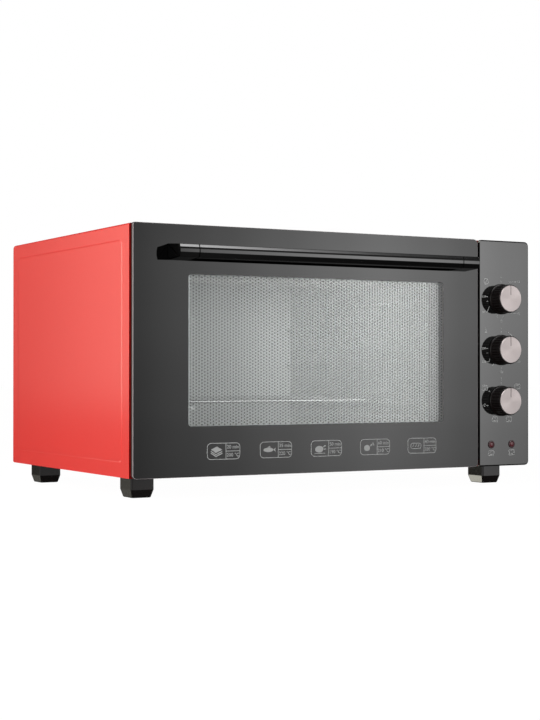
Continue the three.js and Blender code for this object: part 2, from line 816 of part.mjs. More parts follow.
// Steel carrier behind the fascia, with walls that reach back to the cabinet
function fasciaCarrier() {
  const [x0, x1] = [fasciaLeft + fasciaGap, width - fasciaGap]
  const [z0, z1] = [fasciaGap, bodyHeight - fasciaGap]
  let carrier = block(x0, x1, glassBack, frontSetback, z0, z1)
    .subtract(block(x0 + sheet, x1 - sheet, glassBack + sheet, frontSetback + overrun, z0 + sheet, z1 - sheet))
  for (const z of knobHeights) {
    carrier = carrier.subtract(rodAlongY(
      knobColumn, z, bushHoleRadius, glassBack - overrun, glassBack + sheet + overrun))
  }
  for (const x of lampColumns) {
    carrier = carrier.subtract(rodAlongY(x, lampHeight, lampHoleRadius, glassBack - overrun, frontSetback))
  }
  return carrier
}

// Threaded bush in front of a control's case, bored for the shaft
function withBush(body, z) {
  return body
    .add(rodAlongY(knobColumn, z, bushRadius, sheet / 2, controlFront + sheet))
    .subtract(rodAlongY(knobColumn, z, shaftRadius + shaftFit, -overrun, controlFront + shaftDepth))
}

function timerBody() {
  return withBush(rodAlongY(
    knobColumn, knobHeights[0], timerRadius, controlFront, controlBack, roundSegments), knobHeights[0])
}

function thermostatBody() {
  return withBush(block(
    knobColumn - thermostatWidth / 2, knobColumn + thermostatWidth / 2, controlFront, controlBack,
    knobHeights[1] - thermostatHeight / 2, knobHeights[1] + thermostatHeight / 2), knobHeights[1])
}

function selectorBody() {
  return withBush(rodAlongY(
    knobColumn, knobHeights[2], selectorRadius, controlFront, controlBack, roundSegments), knobHeights[2])
}

function controlShaft(z) {
  return rodAlongY(
    knobColumn, z, shaftRadius, -knobClearance - knobBoreDepth + shaftTipGap,
    controlFront + shaftDepth - shaftTipGap)
}

function flutedOutline(z) {
  const shape = new THREE.Shape()
  const steps = knobFluteCount * 2
  for (let step = 0; step < steps; step++) {
    const angle = (2 * Math.PI * step) / steps
    const radius = knobGripRadius - (step % 2 ? knobFluteDepth : 0)
    const [x, y] = [knobColumn + radius * Math.sin(angle), z + radius * Math.cos(angle)]
    if (step === 0) shape.moveTo(x, y)
    else shape.lineTo(x, y)
  }
  return shape
}

function knobGrip(z) {
  const base = -knobClearance
  const front = -knobReach + knobCapThickness
  return frontPrism(flutedOutline(z), front, base)
    .add(rodAlongY(knobColumn, z, knobRimRadius, base - knobRimThickness, base, roundSegments))
    .subtract(rodAlongY(knobColumn, z, shaftRadius + shaftFit, base - knobBoreDepth, overrun))
}

function knobCap(z) {
  return rodAlongY(knobColumn, z, knobCapRadius, -knobReach, -knobReach + knobCapThickness, roundSegments)
}

function indicatorLamp(x) {
  return rodAlongY(x, lampHeight, lampRadius + fitGap, -lampProud, 0)
    .add(rodAlongY(x, lampHeight, lampBodyRadius, -lampProud / 2, lampLength))
}

// Heat shield between the cavity and the controls, with a foot on the cabinet floor
function controlPartition() {
  const front = frameBack
  const back = bottomOfBack - sheet - fitGap
  const crossing = heaterFront + heaterSpacing / 2
  return block(partitionColumn, partitionColumn + sheet, front, back, sheet, innerTop)
    .add(block(partitionColumn, partitionColumn + partitionFoot, front + overrun, back, sheet, 2 * sheet))
    .subtract(rodAlongX(
      crossing, partitionHoleHeight, partitionHoleRadius,
      partitionColumn - overrun, partitionColumn + overrun, roundSegments))
}

function terminalBlock() {
  const back = bodyDepth - terminalSetback
  return block(
    knobColumn - terminalWidth / 2, knobColumn + terminalWidth / 2, back - terminalDepth, back,
    sheet, sheet + terminalHeight)
}

// Plastic bush in the back panel that the mains lead passes through
function cordGland() {
  return rodAlongY(knobColumn, glandHeight, glandFlangeRadius, bodyDepth, bodyDepth + glandProud, roundSegments)
    .add(rodAlongY(
      knobColumn, glandHeight, glandNeckRadius, bottomOfBack - glandTail, bodyDepth + sheet, roundSegments))
    .subtract(rodAlongY(
      knobColumn, glandHeight, glandBoreRadius, bottomOfBack - glandTail - overrun,
      bodyDepth + glandProud + overrun))
}

// Bundled wires from the terminal block to the controls and through the heat shield to the heaters
function wiringLoom() {
  const r = wireRadius
  const terminalTop = sheet + terminalHeight + fitGap
  const terminalMiddle = bodyDepth - terminalSetback - terminalDepth / 2
  const crossing = heaterFront + heaterSpacing / 2
  const heaterSide = heaterRight + heaterTerminalLength / 2 + lipWidth
  let loom = wire([
    [knobColumn, terminalMiddle, terminalTop], [knobColumn, terminalMiddle, terminalTop + 2 * lipWidth],
    [knobColumn, trunkSetback, terminalTop + 2 * lipWidth], [knobColumn, trunkSetback, knobHeights[0]],
    [knobColumn, controlBack + fitGap, knobHeights[0]]
  ], r, lipWidth)
  for (const z of knobHeights.slice(1)) {
    loom = loom.add(wire([[knobColumn, trunkSetback, z], [knobColumn, controlBack + fitGap, z]], r))
  }
  return loom.add(wire([
    [knobColumn, trunkSetback, partitionHoleHeight - partitionHoleRadius / 4],
    [knobColumn, crossing, partitionHoleHeight - partitionHoleRadius / 4],
    [heaterSide, crossing, partitionHoleHeight - partitionHoleRadius / 4]
  ], r, lipWidth))
    .add(rodAlongZ(heaterSide, crossing, r, lowerHeaterHeight, upperHeaterHeight, wireSegments))
}

// Colours and finishes

const paint = (color, roughness, metalness) => new THREE.MeshStandardMaterial({ color, roughness, metalness })
const redPaint = paint(0xe8453f, 0.35, 0.1)
const blackGlass = paint(0x2b2b2c, 0.08, 0)
const clearGlass = paint(0xaeb4b2, 0.08, 0)
const steel = paint(0xb4b6b5, 0.4, 0.9)
const brightSteel = paint(0xd9dad9, 0.22, 1)
const cavitySteel = paint(0xbfc3c2, 0.45, 0.6)
const blackGloss = paint(0x0d0d0e, 0.18, 0)
const blackPlastic = paint(0x1a1413, 0.45, 0)
const champagne = paint(0xc7b4b1, 0.3, 0.9)
const redLens = paint(0x571f26, 0.2, 0)
const ceramic = paint(0xe6e2d8, 0.7, 0)
const wireCover = paint(0xa86a3a, 0.6, 0)

// Assembly

const oven = new THREE.Group()
const overallDepth = handleReach + bodyDepth + glandProud
oven.position.set(-width / 2, handleReach - overallDepth / 2, footHeight)

function place(name, solid, material) {
  const mesh = new THREE.Mesh(geometryOf(solid), material)
  mesh.name = name
  oven.add(mesh)
}

const sides = ['left', 'right']

place('outer_wrapper', outerWrapper(), redPaint)
place('base_panel', basePanel(), redPaint)
place('front_frame', frontFrame(), steel)
place('back_panel', backPanel(), steel)
place('cavity_liner', cavityLiner(), cavitySteel)
place('cavity_back', cavityBackWall(), cavitySteel)
place('rack_guide_left', rackGuide(cavityLeft, 1), cavitySteel)
place('rack_guide_right', rackGuide(cavityRight, -1), cavitySteel)
place('upper_heater', heater(upperHeaterHeight), steel)
place('lower_heater', heater(lowerHeaterHeight), steel)
place('thermostat_bulb', thermostatBulb(), brightSteel)
place('control_partition', controlPartition(), steel)
place('control_fascia', controlFascia(), blackGlass)
place('fascia_carrier', fasciaCarrier(), steel)
place('timer_body', timerBody(), steel)
place('thermostat_body', thermostatBody(), ceramic)
place('selector_body', selectorBody(), blackPlastic)
place('terminal_block', terminalBlock(), ceramic)
place('cord_gland', cordGland(), blackPlastic)
place('wiring_loom', wiringLoom(), wireCover)
place('wire_rack', wireRack(), brightSteel)
place('door_glass', doorGlass(), blackGlass)
place('door_frame', doorFrame(), blackGloss)
place('inner_glass', innerGlass(), clearGlass)
place('handle_bar', handleBar(), blackGloss)
place('handle_end_left', handleEnd(handleLeft, 1), blackGloss)
place('handle_end_right', handleEnd(handleRight - handleCapWidth, -1), blackGloss)

sides.forEach((side, index) => {
  const x = hingeColumns[index]
  place(`hinge_bracket_${side}`, hingeBracket(x), steel)
  place(`hinge_pin_${side}`, hingePin(x), brightSteel)
  place(`hinge_arm_${side}`, hingeArm(x), steel)
  place(`hinge_spring_${side}`, hingeSpring(x), brightSteel)
  place(`handle_screw_${side}`, handleScrew(handleScrewColumns()[index]), brightSteel)
  place(`indicator_lamp_${side}`, indicatorLamp(lampColumns[index]), redLens)
  for (const [level, z] of [['lower', backScrewHeights()[0]], ['upper', backScrewHeights()[1]]]) {
    place(`back_screw_${level}_${side}`, backScrew(backScrewColumns()[index], z), brightSteel)
  }
})

const controls = ['timer', 'thermostat', 'selector']
controls.forEach((control, index) => {
  const z = knobHeights[index]
  place(`${control}_shaft`, controlShaft(z), brightSteel)
  place(`${control}_knob`, knobGrip(z), blackPlastic)
  place(`${control}_knob_cap`, knobCap(z), champagne)
})

const corners = ['front_left', 'rear_left', 'front_right', 'rear_right']
footCentres().forEach(([x, y], index) => {
  place(`foot_${corners[index]}`, foot(x, y), blackPlastic)
  place(`foot_screw_${corners[index]}`, footScrew(x, y), brightSteel)
})

export default oven
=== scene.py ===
"""Looks of the mini oven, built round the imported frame. Lengths are in metres and angles in radians.

x runs to the oven's right, y from its front to its back, and z up from the table.
"""

from math import atan2, copysign, cos, pi, radians, sin

import bmesh
import bpy
from mathutils import Matrix, Vector


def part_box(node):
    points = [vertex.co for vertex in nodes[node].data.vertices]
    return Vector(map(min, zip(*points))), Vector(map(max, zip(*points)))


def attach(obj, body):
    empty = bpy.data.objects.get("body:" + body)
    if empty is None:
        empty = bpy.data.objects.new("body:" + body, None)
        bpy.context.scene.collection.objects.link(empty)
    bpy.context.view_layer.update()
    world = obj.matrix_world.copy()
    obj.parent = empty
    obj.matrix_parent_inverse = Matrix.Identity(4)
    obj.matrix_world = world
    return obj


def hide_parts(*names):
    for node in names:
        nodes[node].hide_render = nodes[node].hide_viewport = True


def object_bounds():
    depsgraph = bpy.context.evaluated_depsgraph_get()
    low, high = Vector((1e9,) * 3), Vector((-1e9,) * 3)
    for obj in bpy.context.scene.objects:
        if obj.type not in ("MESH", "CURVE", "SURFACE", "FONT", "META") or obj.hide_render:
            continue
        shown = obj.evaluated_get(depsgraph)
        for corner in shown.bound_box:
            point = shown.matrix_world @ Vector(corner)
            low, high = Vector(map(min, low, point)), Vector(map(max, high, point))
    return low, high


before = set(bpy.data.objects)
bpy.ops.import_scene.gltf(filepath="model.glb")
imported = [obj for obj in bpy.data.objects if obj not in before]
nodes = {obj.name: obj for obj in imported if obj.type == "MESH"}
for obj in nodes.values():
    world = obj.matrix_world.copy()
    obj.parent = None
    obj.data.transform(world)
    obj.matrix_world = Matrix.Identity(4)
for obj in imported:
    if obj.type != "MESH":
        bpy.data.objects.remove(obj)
cad_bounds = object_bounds()
CONTROLS = ("timer", "thermostat", "selector")
BOTH_SIDES = ("left", "right")
TURN = 2 * pi
QUARTER = pi / 2


# Mesh helpers


def place(name, data, location=(0, 0, 0)):
    obj = bpy.data.objects.new(name, data)
    obj.location = location
    bpy.context.scene.collection.objects.link(obj)
    return obj


def new_object(name, bm, location=(0, 0, 0)):
    mesh = bpy.data.meshes.new(name)
    bm.to_mesh(mesh)
    bm.free()
    return place(name, mesh, location)


def middle_of(name):
    low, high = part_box(name)
    return (low + high) / 2


SMOOTH_LIMIT = radians(38)
MERGE_DISTANCE = 1e-6


def smooth(obj, limit):
    """Smooth faces that break at sharp edges, with flat faces kept flat beside their rounded edges."""
    bm = bmesh.new()
    bm.from_mesh(obj.data)
    bmesh.ops.recalc_face_normals(bm, faces=bm.faces)
    for face in bm.faces:
        face.smooth = True
    for edge in bm.edges:
        edge.smooth = len(edge.link_faces) == 2 and edge.calc_face_angle(0) < limit
    bm.to_mesh(obj.data)
    bm.free()
    obj.modifiers.new("even_normals", "WEIGHTED_NORMAL").keep_sharp = True


def dress(obj, body, materials, replaced=(), limit=SMOOTH_LIMIT):
    """Gives a piece its materials and shading, and hangs it on its body."""
    for material in materials:
        obj.data.materials.append(material)
    smooth(obj, limit)
    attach(obj, body)
    if replaced:
        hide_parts(*replaced)
    return obj


def spread(span, steps, start=0.0):
    """Angles from a start over a span, in equal steps."""
    return [start + span * step / steps for step in range(steps + 1)]


def circle(sides):
    return spread(TURN, sides)[:-1]


def dial_point(radius, angle):
    """A point by its clockwise angle from straight up."""
    return radius * sin(angle), radius * cos(angle)


def at_x(x, points):
    return [(x, y, z) for y, z in points]


def at_y(y, points):
    return [(x, y, z) for x, z in points]


def neighbours(points, closed=True):
    """Each point between the ones before and after it; an open end takes its own place there."""
    points = [Vector(p) for p in points]
    first, last = (points[-1], points[0]) if closed else (points[0], points[-1])
    return zip([first, *points], points, [*points[1:], last])


def rounded(a0, a1, b0, b1, radii, steps=5):
    """A rounded rectangle's points, anticlockwise from lower left; radii run the same way round."""
    radii = radii if isinstance(radii, (list, tuple)) else [radii] * 4
    corners = [(a0, b0, 1, 1), (a1, b0, -1, 1), (a1, b1, -1, -1), (a0, b1, 1, -1)]
    points = []
    for index, ((a, b, inward_a, inward_b), r) in enumerate(zip(corners, radii)):
        for angle in spread(QUARTER, steps, pi + index * QUARTER):
            points.append((a + inward_a * r + r * cos(angle), b + inward_b * r + r * sin(angle)))
    return points


def edge_arc(radius, steps=3):
    """(inset, depth) pairs from a flat face round to the side wall, for an edge of that radius."""
    return [(radius * (1 - sin(a)), radius * (1 - cos(a))) for a in spread(QUARTER, steps)]


def join(bm, rings, materials=None):
    """Bands of faces between neighbouring rings of equally many vertices."""
    for index, (ring, following) in enumerate(zip(rings, rings[1:])):
        for i in range(len(ring)):
            j = (i + 1) % len(ring)
            face = bm.faces.new((ring[i], ring[j], following[j], following[i]))
            face.material_index = materials[index] if materials else 0


def join_loops(bm, loops, materials=None):
    """Joins loops of points, and gives the first and the last ring back."""
    rings = [[bm.verts.new(point) for point in loop] for loop in loops]
    join(bm, rings, materials)
    return rings[0], rings[-1]


def skin(loops, materials=None, caps=(0, 0)):
    """One surface through loops of points. caps gives the materials of its ends, or None for no end."""
    bm = bmesh.new()
    for ring, cap in zip(join_loops(bm, loops, materials), caps):
        if cap is not None:
            bm.faces.new(ring).material_index = cap
    bmesh.ops.recalc_face_normals(bm, faces=bm.faces)
    return bm


def turned(profile, sides, radius_at=lambda radius, angle: radius):
    """Loops of a shape turned round the y axis, from (radius, y) pairs that radius_at may change by angle."""
    return [
        at_y(y, [dial_point(radius_at(radius, angle), angle) for angle in circle(sides)])
        for radius, y in profile
    ]


def round_corners(points, radii, steps=4):
    """A polygon with each corner replaced by an arc-like curve that starts at its radius from the corner."""
    result = []
    for (before, here, after), radius in zip(neighbours(points), radii):
        start = here + (before - here).normalized() * radius
        end = here + (after - here).normalized() * radius
        for step in range(steps + 1):
            t = step / steps
            result.append(tuple((1 - t) ** 2 * start + 2 * t * (1 - t) * here + t * t * end))
    return result


def shrink(points, inset):
    """A convex outline moved inwards by an inset, point by point."""
    middle = sum((Vector(p) for p in points), Vector((0, 0))) / len(points)
    result = []
    for before, here, after in neighbours(points):
        along = after - before
        across = Vector((-along.y, along.x)).normalized()
        if across.dot(middle - here) < 0:
            across = -across
        result.append(tuple(here + across * inset))
    return result


def tube(bm, path, radius, sides=12, closed=False):
    """A round wire along a path of points."""
    rings = []
    across = None
    for before, here, after in neighbours(path, closed):
        ahead = (after - before).normalized()
        level = abs(ahead.z) < abs(ahead.x) + abs(ahead.y)
        across = across or Vector((0, 0, 1) if level else (0, 1, 0))
        across = (across - ahead * across.dot(ahead)).normalized()
        third = ahead.cross(across)
        rings.append([
            bm.verts.new(here + radius * (across * cos(angle) + third * sin(angle)))
            for angle in circle(sides)
        ])
    join(bm, rings + rings[:1] if closed else rings)
    if not closed:
        bm.faces.new(rings[0])
        bm.faces.new(rings[-1])


def bent_path(corners, bend, closed=False, steps=10):
    """Straight runs between corners, joined by round bends."""
    path = []
    for before, here, after in neighbours(corners, closed):
        if here in (before, after):
            path.append(here)
            continue
        start = here + (before - here).normalized() * bend
        end = here + (after - here).normalized() * bend
        centre = start + end - here
        for angle in spread(QUARTER, steps):
            path.append(centre + (start - centre) * cos(angle) + (end - centre) * sin(angle))
    return path


# Materials


def add_node(tree, kind, inputs=None, **properties):
    """A new node with its properties set, and each input given a value or linked to an output."""
    node = tree.nodes.new(f"ShaderNode{kind}")
    for key, value in properties.items():
        setattr(node, key, value)
    for key, value in (inputs or {}).items():
        if isinstance(value, bpy.types.NodeSocket):
            tree.links.new(value, node.inputs[key])
        else:
            node.inputs[key].default_value = value
    return node


class Shader:
    """A node material with one Principled shader and short ways to add what feeds it."""

    def __init__(self, name, specular=0.5, **sockets):
        self.material = bpy.data.materials.new(name)
        self.material.use_nodes = True
        self.tree = self.material.node_tree
        self.surface = self.tree.nodes["Principled BSDF"]
        self.place = self.add("TexCoord").outputs["Object"]
        self.surface.inputs["Specular IOR Level"].default_value = specular
        for socket, value in sockets.items():
            self.surface.inputs[socket.replace("_", " ")].default_value = value

    def add(self, kind, inputs=None, **properties):
        return add_node(self.tree, kind, inputs, **properties)

    def feed(self, source, socket):
        self.tree.links.new(source, self.surface.inputs[socket])

    def noise(self, scale):
        """Noise of a scale, or of a (scale, detail) pair."""
        scale, detail = scale if isinstance(scale, tuple) else (scale, 2)
        return self.add("TexNoise", {"Vector": self.place, "Scale": scale, "Detail": detail}).outputs["Fac"]

    def cells(self, scale):
        return self.add("TexVoronoi", {"Vector": self.place, "Scale": scale}).outputs["Color"]

    def colour(self, value, dark, light):
        node = self.add("Mix", {"Factor": value, 6: (*dark, 1), 7: (*light, 1)}, data_type="RGBA")
        self.feed(node.outputs[2], "Base Color")

    def roughness(self, value, low, high):
        node = self.add("MapRange", {"Value": value, "To Min": low, "To Max": high})
        self.feed(node.outputs["Result"], "Roughness")

    def bump(self, value, strength, distance):
        node = self.add("Bump", {"Height": value, "Strength": strength, "Distance": distance})
        self.feed(node.outputs["Normal"], "Normal")

    def blend(self, share, first, second):
        """Shows a mix of two shaders, the second one's part given by share."""
        mix = self.add("MixShader", {0: share, 1: first, 2: second})
        surface = self.tree.nodes["Material Output"].inputs["Surface"]
        self.tree.links.new(mix.outputs["Shader"], surface)


def shades(rgb, *shares):
    """The tones of a colour that are these shares of it."""
    return [[c * share for c in rgb] for share in shares]


def varied(name, tones, tone_noise, roughness, rough_noise, bump=None, **sockets):
    """Tone and roughness each wander between two values by noise; bump is (noise, strength, distance)."""
    s = Shader(name, **sockets)
    s.colour(s.noise(tone_noise), *tones)
    s.roughness(s.noise(rough_noise), *roughness)
    if bump:
        s.bump(s.noise(bump[0]), *bump[1:])
    return s.material


def printed_glass(name, grey, level):
    return varied(name, shades([grey] * 3, 0.9, 1.1), 30, (0.02, 0.035), 45, specular=level, IOR=1.53)


def dark_edge(name, rgb):
    """Ground glass edge over the black print, and other black edges that give back little light."""
    return varied(name, shades(rgb, 0.8, 1.2), 120, (0.5, 0.65), 400, specular=0.12)


def clear_glass():
    """Lets light through and reflects the share that glass does; the reflection is a mirror's."""
    s = Shader("clear_glass", Metallic=1.0, Roughness=0.02)
    s.colour(s.noise(30), (0.96, 0.98, 0.97), (1, 1, 1))
    clear = s.add("BsdfTransparent", {"Color": (0.975, 0.98, 0.978, 1)})
    fresnel = s.add("Fresnel", {"IOR": 1.45})
    s.blend(fresnel.outputs["Fac"], clear.outputs["BSDF"], s.surface.outputs["BSDF"])
    return s.material


def light_print(name, rgb):
    return varied(name, shades(rgb, 0.9, 1.08), 700, (0.45, 0.6), 500, specular=0.3)


def zinc_steel():
    """Sheet with the small crystals of its zinc coat."""
    s = Shader("galvanised_steel", Metallic=0.85)
    s.colour(s.cells(ZINC_CRYSTALS), (0.52, 0.53, 0.53), (0.64, 0.65, 0.66))
    s.roughness(s.cells(ZINC_CRYSTALS), 0.32, 0.42)
    s.bump(s.noise(420), 0.05, 0.0002)
    return s.material


def cavity_steel(name, level):
    """Aluminised sheet, pale and dull, with a faint cloudy change of tone."""
    return varied(name, shades(ALUMINISED, level, level + 0.04), 14, (0.5, 0.6), 40, Metallic=0.2)


def black_plastic(name, rgb, roughness, grain, level=0.3):
    bump = ((grain, 3), 0.1, 0.0001)
    return varied(name, shades(rgb, 0.85, 1.15), (200, 3), roughness, (600, 3), bump, specular=level)


def champagne_metal():
    """Spun disc: rings cut round its centre, with the reflection drawn out across them."""
    s = Shader("champagne_metal", Metallic=1.0, Anisotropic=0.72)
    inputs = {"Vector": s.place, "Scale": 620, "Distortion": 0.6}
    rings = s.add("TexWave", inputs, wave_type="RINGS", rings_direction="Y")
    s.colour(rings.outputs["Fac"], (0.455, 0.405, 0.397), (0.52, 0.462, 0.453))
    s.roughness(s.noise((900, 3)), 0.3, 0.38)
    tangent = s.add("Tangent", direction_type="RADIAL", axis="Y")
    s.feed(tangent.outputs["Tangent"], "Tangent")
    s.bump(rings.outputs["Fac"], 0.05, 0.00005)
    return s.material


ZINC_CRYSTALS = 150
ALUMINISED = (0.994, 1, 0.997)

RED = varied(
    "red_paint", shades((0.8, 0.025, 0.02), 0.98, 1.02), 9, (0.42, 0.5), (260, 3), (1500, 0.04, 0.0001),
    specular=0.1, Coat_Weight=0.6, Coat_Roughness=0.12)
# The same paint, darkened as painted shade where the sheet turns in behind the glass, in the deep gap behind
# the door
RED_PAINTED_SHADE = varied(
    "red_painted_shade", ((0.115, 0.0012, 0.0012), (0.155, 0.002, 0.002)), 60, (0.6, 0.75), (260, 3),
    specular=0.1)
DOOR_PRINT = printed_glass("printed_black_glass", 0.0006, 0.5)
FASCIA_PRINT = printed_glass("printed_fascia_glass", 0.005, 1.0)
EDGE = varied("glass_edge", ((0.25, 0.216, 0.223), (0.315, 0.272, 0.281)), 90, (0.2, 0.3), 400)
# Dark ground glass edge at the back of the pane, and also painted shade on the door's top front edge
DOOR_SIDE_AND_SHADE = dark_edge("ground_glass_edge_and_painted_shade", (0.03, 0.024, 0.024))
FASCIA_SIDE = dark_edge("black_glass_edge", (0.0022, 0.002, 0.002))
HANDLE_SIDE = dark_edge("matte_black_end", (0.0004, 0.0004, 0.0004))
CLEAR = clear_glass()
DOTS = varied(
    "dark_print", ((0.012, 0.013, 0.013), (0.022, 0.023, 0.023)), 300, (0.35, 0.5), 500, specular=0.3)
DOOR_INK = light_print("door_ink", (0.3, 0.304, 0.3))
FASCIA_INK = light_print("fascia_ink", (0.38, 0.385, 0.38))
ZINC = zinc_steel()
CAVITY = cavity_steel("cavity_steel", 0.85)
# Painted shade: a darker copy of the cavity steel, so the lit rack guides and thermostat bulb come out no
# brighter than the walls
SHADED_CAVITY = cavity_steel("cavity_steel_painted_shade", 0.74)
# Painted shade: a dark copy of the cavity steel for the border that shows as a shaded band through the window
SHADED_TRIM = cavity_steel("trim_steel_painted_shade", 0.28)
ROD = varied(
    "heater_steel", ((0.93, 0.93, 0.92), (0.98, 0.98, 0.97)), (60, 3), (0.12, 0.2), (220, 3), Metallic=0.35)
# Nickel-plated wire, which takes the pale tone of the walls round it
RACK = varied(
    "rack_steel", ((0.93, 0.93, 0.93), (0.98, 0.98, 0.98)), 70, (0.12, 0.18), (300, 3), Metallic=0.75)
BRIGHT = varied(
    "bright_steel", ((0.84, 0.85, 0.85), (0.92, 0.93, 0.93)), 80, (0.08, 0.16), (350, 3), Metallic=1.0)
ENAMEL = varied(
    "black_enamel", ((0.01, 0.01, 0.011), (0.018, 0.018, 0.019)), 40, (0.22, 0.34), (260, 3),
    (1100, 0.05, 0.0002))
GLOSS = varied(
    "black_gloss", ((0.0009, 0.0008, 0.0008), (0.0012, 0.0011, 0.0011)), 60, (0.08, 0.13), 300,
    Coat_Weight=0.6, Coat_Roughness=0.04)
KNOB = black_plastic("black_plastic", (0.004, 0.0026, 0.0024), (0.24, 0.34), 1800)
FOOT = black_plastic("foot_plastic", (0.0052, 0.0042, 0.004), (0.07, 0.12), 1300, 0.5)
CHAMPAGNE = champagne_metal()
GROOVE = varied(
    "pointer_groove", ((0.1, 0.085, 0.082), (0.16, 0.135, 0.13)), 900, (0.4, 0.55), 900, Metallic=0.6)
LENS = varied(
    "red_lens", ((0.055, 0.005, 0.008), (0.095, 0.01, 0.015)), 500, (0.1, 0.2), 800,
    Coat_Weight=0.25, Coat_Roughness=0.04)
LENS_RIM = varied("lens_rim", ((0.02, 0.004, 0.006), (0.034, 0.007, 0.01)), 500, (0.18, 0.3), 800)
CERAMIC = varied(
    "cream_ceramic", ((0.66, 0.62, 0.54), (0.78, 0.74, 0.66)), (150, 3), (0.5, 0.7), (300, 3),
    (900, 0.08, 0.0002), specular=0.4)
WIRE = varied(
    "wire_cover", ((0.34, 0.13, 0.045), (0.44, 0.18, 0.065)), 200, (0.5, 0.65), 300,
    (1600, 0.15, 0.0002), specular=0.4)


# Cabinet

SHEET = 0.001
WRAPPER_BEND = 0.0025
ROUND_STEPS = 6
LIP = 0.009
LIP_BEND = 0.0004
HOOD_FORWARD = 0.0008
REAR_TURN = (
    (0.006, 0, 0), (0.0045, 0, 0.0002), (0.0031, 0, 0.0007), (0.0018, 0.0001, 0.0014),
    (0.0008, 0.0003, 0.0023), (0, 0.0008, 0.0033))
REAR_SETBACK = 0.00015
REAR_RIM_IN = 0.0006
REAR_RIM_DOWN = 0.0022
FIELD_FRONT = 0.019
FIELD_BACK = 0.0226
FIELD_TOP = 0.0185
FIELD_BOTTOM = 0.0177
FIELD_STEP = 0.0025
FIELD_RISE = 0.0003
FIELD_CORNER = 0.008

cabinet_low, cabinet_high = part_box("outer_wrapper")


def hood_line(inset, drop, lift=0.0):
    """The hood's outline from the front, from the foot of its left side over the top to the right."""
    x0, x1 = cabinet_low.x + FIELD_RISE + inset, cabinet_high.x - FIELD_RISE - inset
    top = cabinet_high.z - drop
    radius = max(WRAPPER_BEND - inset, SHEET / 4)
    points = [(x0, cabinet_low.z + lift)]
    for centre_x, start in ((x0 + radius, pi), (x1 - radius, QUARTER)):
        for angle in spread(-QUARTER, ROUND_STEPS, start):
            points.append((centre_x + radius * cos(angle), top - radius + radius * sin(angle)))
    return points + [(x1, cabinet_low.z + lift)]


def field_ring(inset, x):
    y0, y1 = cabinet_low.y + FIELD_FRONT + inset, cabinet_high.y - FIELD_BACK - inset
    z0, z1 = cabinet_low.z + FIELD_BOTTOM + inset, cabinet_high.z - FIELD_TOP - inset
    return at_x(x, rounded(y0, y1, z0, z1, FIELD_CORNER - inset, ROUND_STEPS))


def side_panel(bm, x, outward, front, back, bottom, top):
    """Flat sheet whose middle is pressed out a little."""
    rings = []
    for step in range(ROUND_STEPS + 1):
        share = step / ROUND_STEPS
        rise = FIELD_RISE * (1 - cos(pi * share)) / 2
        rings.append([bm.verts.new(p) for p in field_ring(FIELD_STEP * share, x + outward * rise)])
    join(bm, rings)
    bm.faces.new(rings[-1])
    outline = ((front, bottom), (back, bottom), (back, top), (front, top))
    corners = [bm.verts.new(point) for point in at_x(x, outline)]
    count = len(rings[0])
    per_corner = count // 4
    for side, corner in enumerate(corners):
        first = side * per_corner + per_corner // 2
        run = [rings[0][(first + k) % count] for k in range(per_corner + 1)]
        bm.faces.new([corner, corners[(side + 1) % 4], *reversed(run)])


def make_hood():
    rear = cabinet_high.y - REAR_SETBACK
    mouth = cabinet_low.y - HOOD_FORWARD
    stations = [(mouth, LIP, LIP, 0)]
    stations += [(mouth + depth, inset, inset, 0) for inset, depth in edge_arc(LIP_BEND)]
    main = len(stations) - 1
    stations += [(rear - depth, inset, drop, drop) for depth, inset, drop in REAR_TURN]
    bm = bmesh.new()
    lines = [[bm.verts.new(point) for point in at_y(y, hood_line(*line))] for y, *line in stations]
    last = len(lines[0]) - 2
    for index, (line, following) in enumerate(zip(lines, lines[1:])):
        for i in range(last + 1):
            if index == main and i in (0, last):
                continue
            face = bm.faces.new((line[i], line[i + 1], following[i + 1], following[i]))
            # The lip and the first band of its front bend take the red painted shade
            face.material_index = int(index < 2)
    front, back = stations[main][0], stations[main + 1][0]
    bend_start = cabinet_high.z - WRAPPER_BEND
    for x, outward in ((cabinet_low.x + FIELD_RISE, -1), (cabinet_high.x - FIELD_RISE, 1)):
        side_panel(bm, x, outward, front, back, cabinet_low.z, bend_start)
    bmesh.ops.remove_doubles(bm, verts=bm.verts, dist=MERGE_DISTANCE)
    bmesh.ops.recalc_face_normals(bm, faces=bm.faces)
    hood = new_object("hood", bm)
    thicken = hood.modifiers.new("sheet", "SOLIDIFY")
    thicken.thickness = SHEET
    thicken.offset = -1
    dress(hood, "cabinet", [RED, RED_PAINTED_SHADE], ["outer_wrapper"])


make_hood()


def make_back_panel():
    """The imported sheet, drawn in at its rim to meet the hood where that turns in."""
    low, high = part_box("back_panel")
    source = nodes["back_panel"]
    mesh = source.data.copy()
    mesh.transform(source.matrix_world)
    for vertex in mesh.vertices:
        vertex.co.x = min(max(vertex.co.x, low.x + REAR_RIM_IN), high.x - REAR_RIM_IN)
        vertex.co.z = min(max(vertex.co.z, low.z + REAR_RIM_DOWN), high.z - REAR_RIM_DOWN)
    mesh.materials.clear()
    dress(place("rear_sheet", mesh), "cabinet", [ZINC], ["back_panel"])


make_back_panel()


# Feet

FOOT_CORNER = 0.0022
FOOT_EDGE = 0.0007
FOOT_STRAIGHT = 0.016
FOOT_TAPER = 0.0027
FOOT_RECESS_RADIUS = 0.005
FOOT_RECESS_DEPTH = 0.012
FOOT_SMOOTH_LIMIT = radians(11)


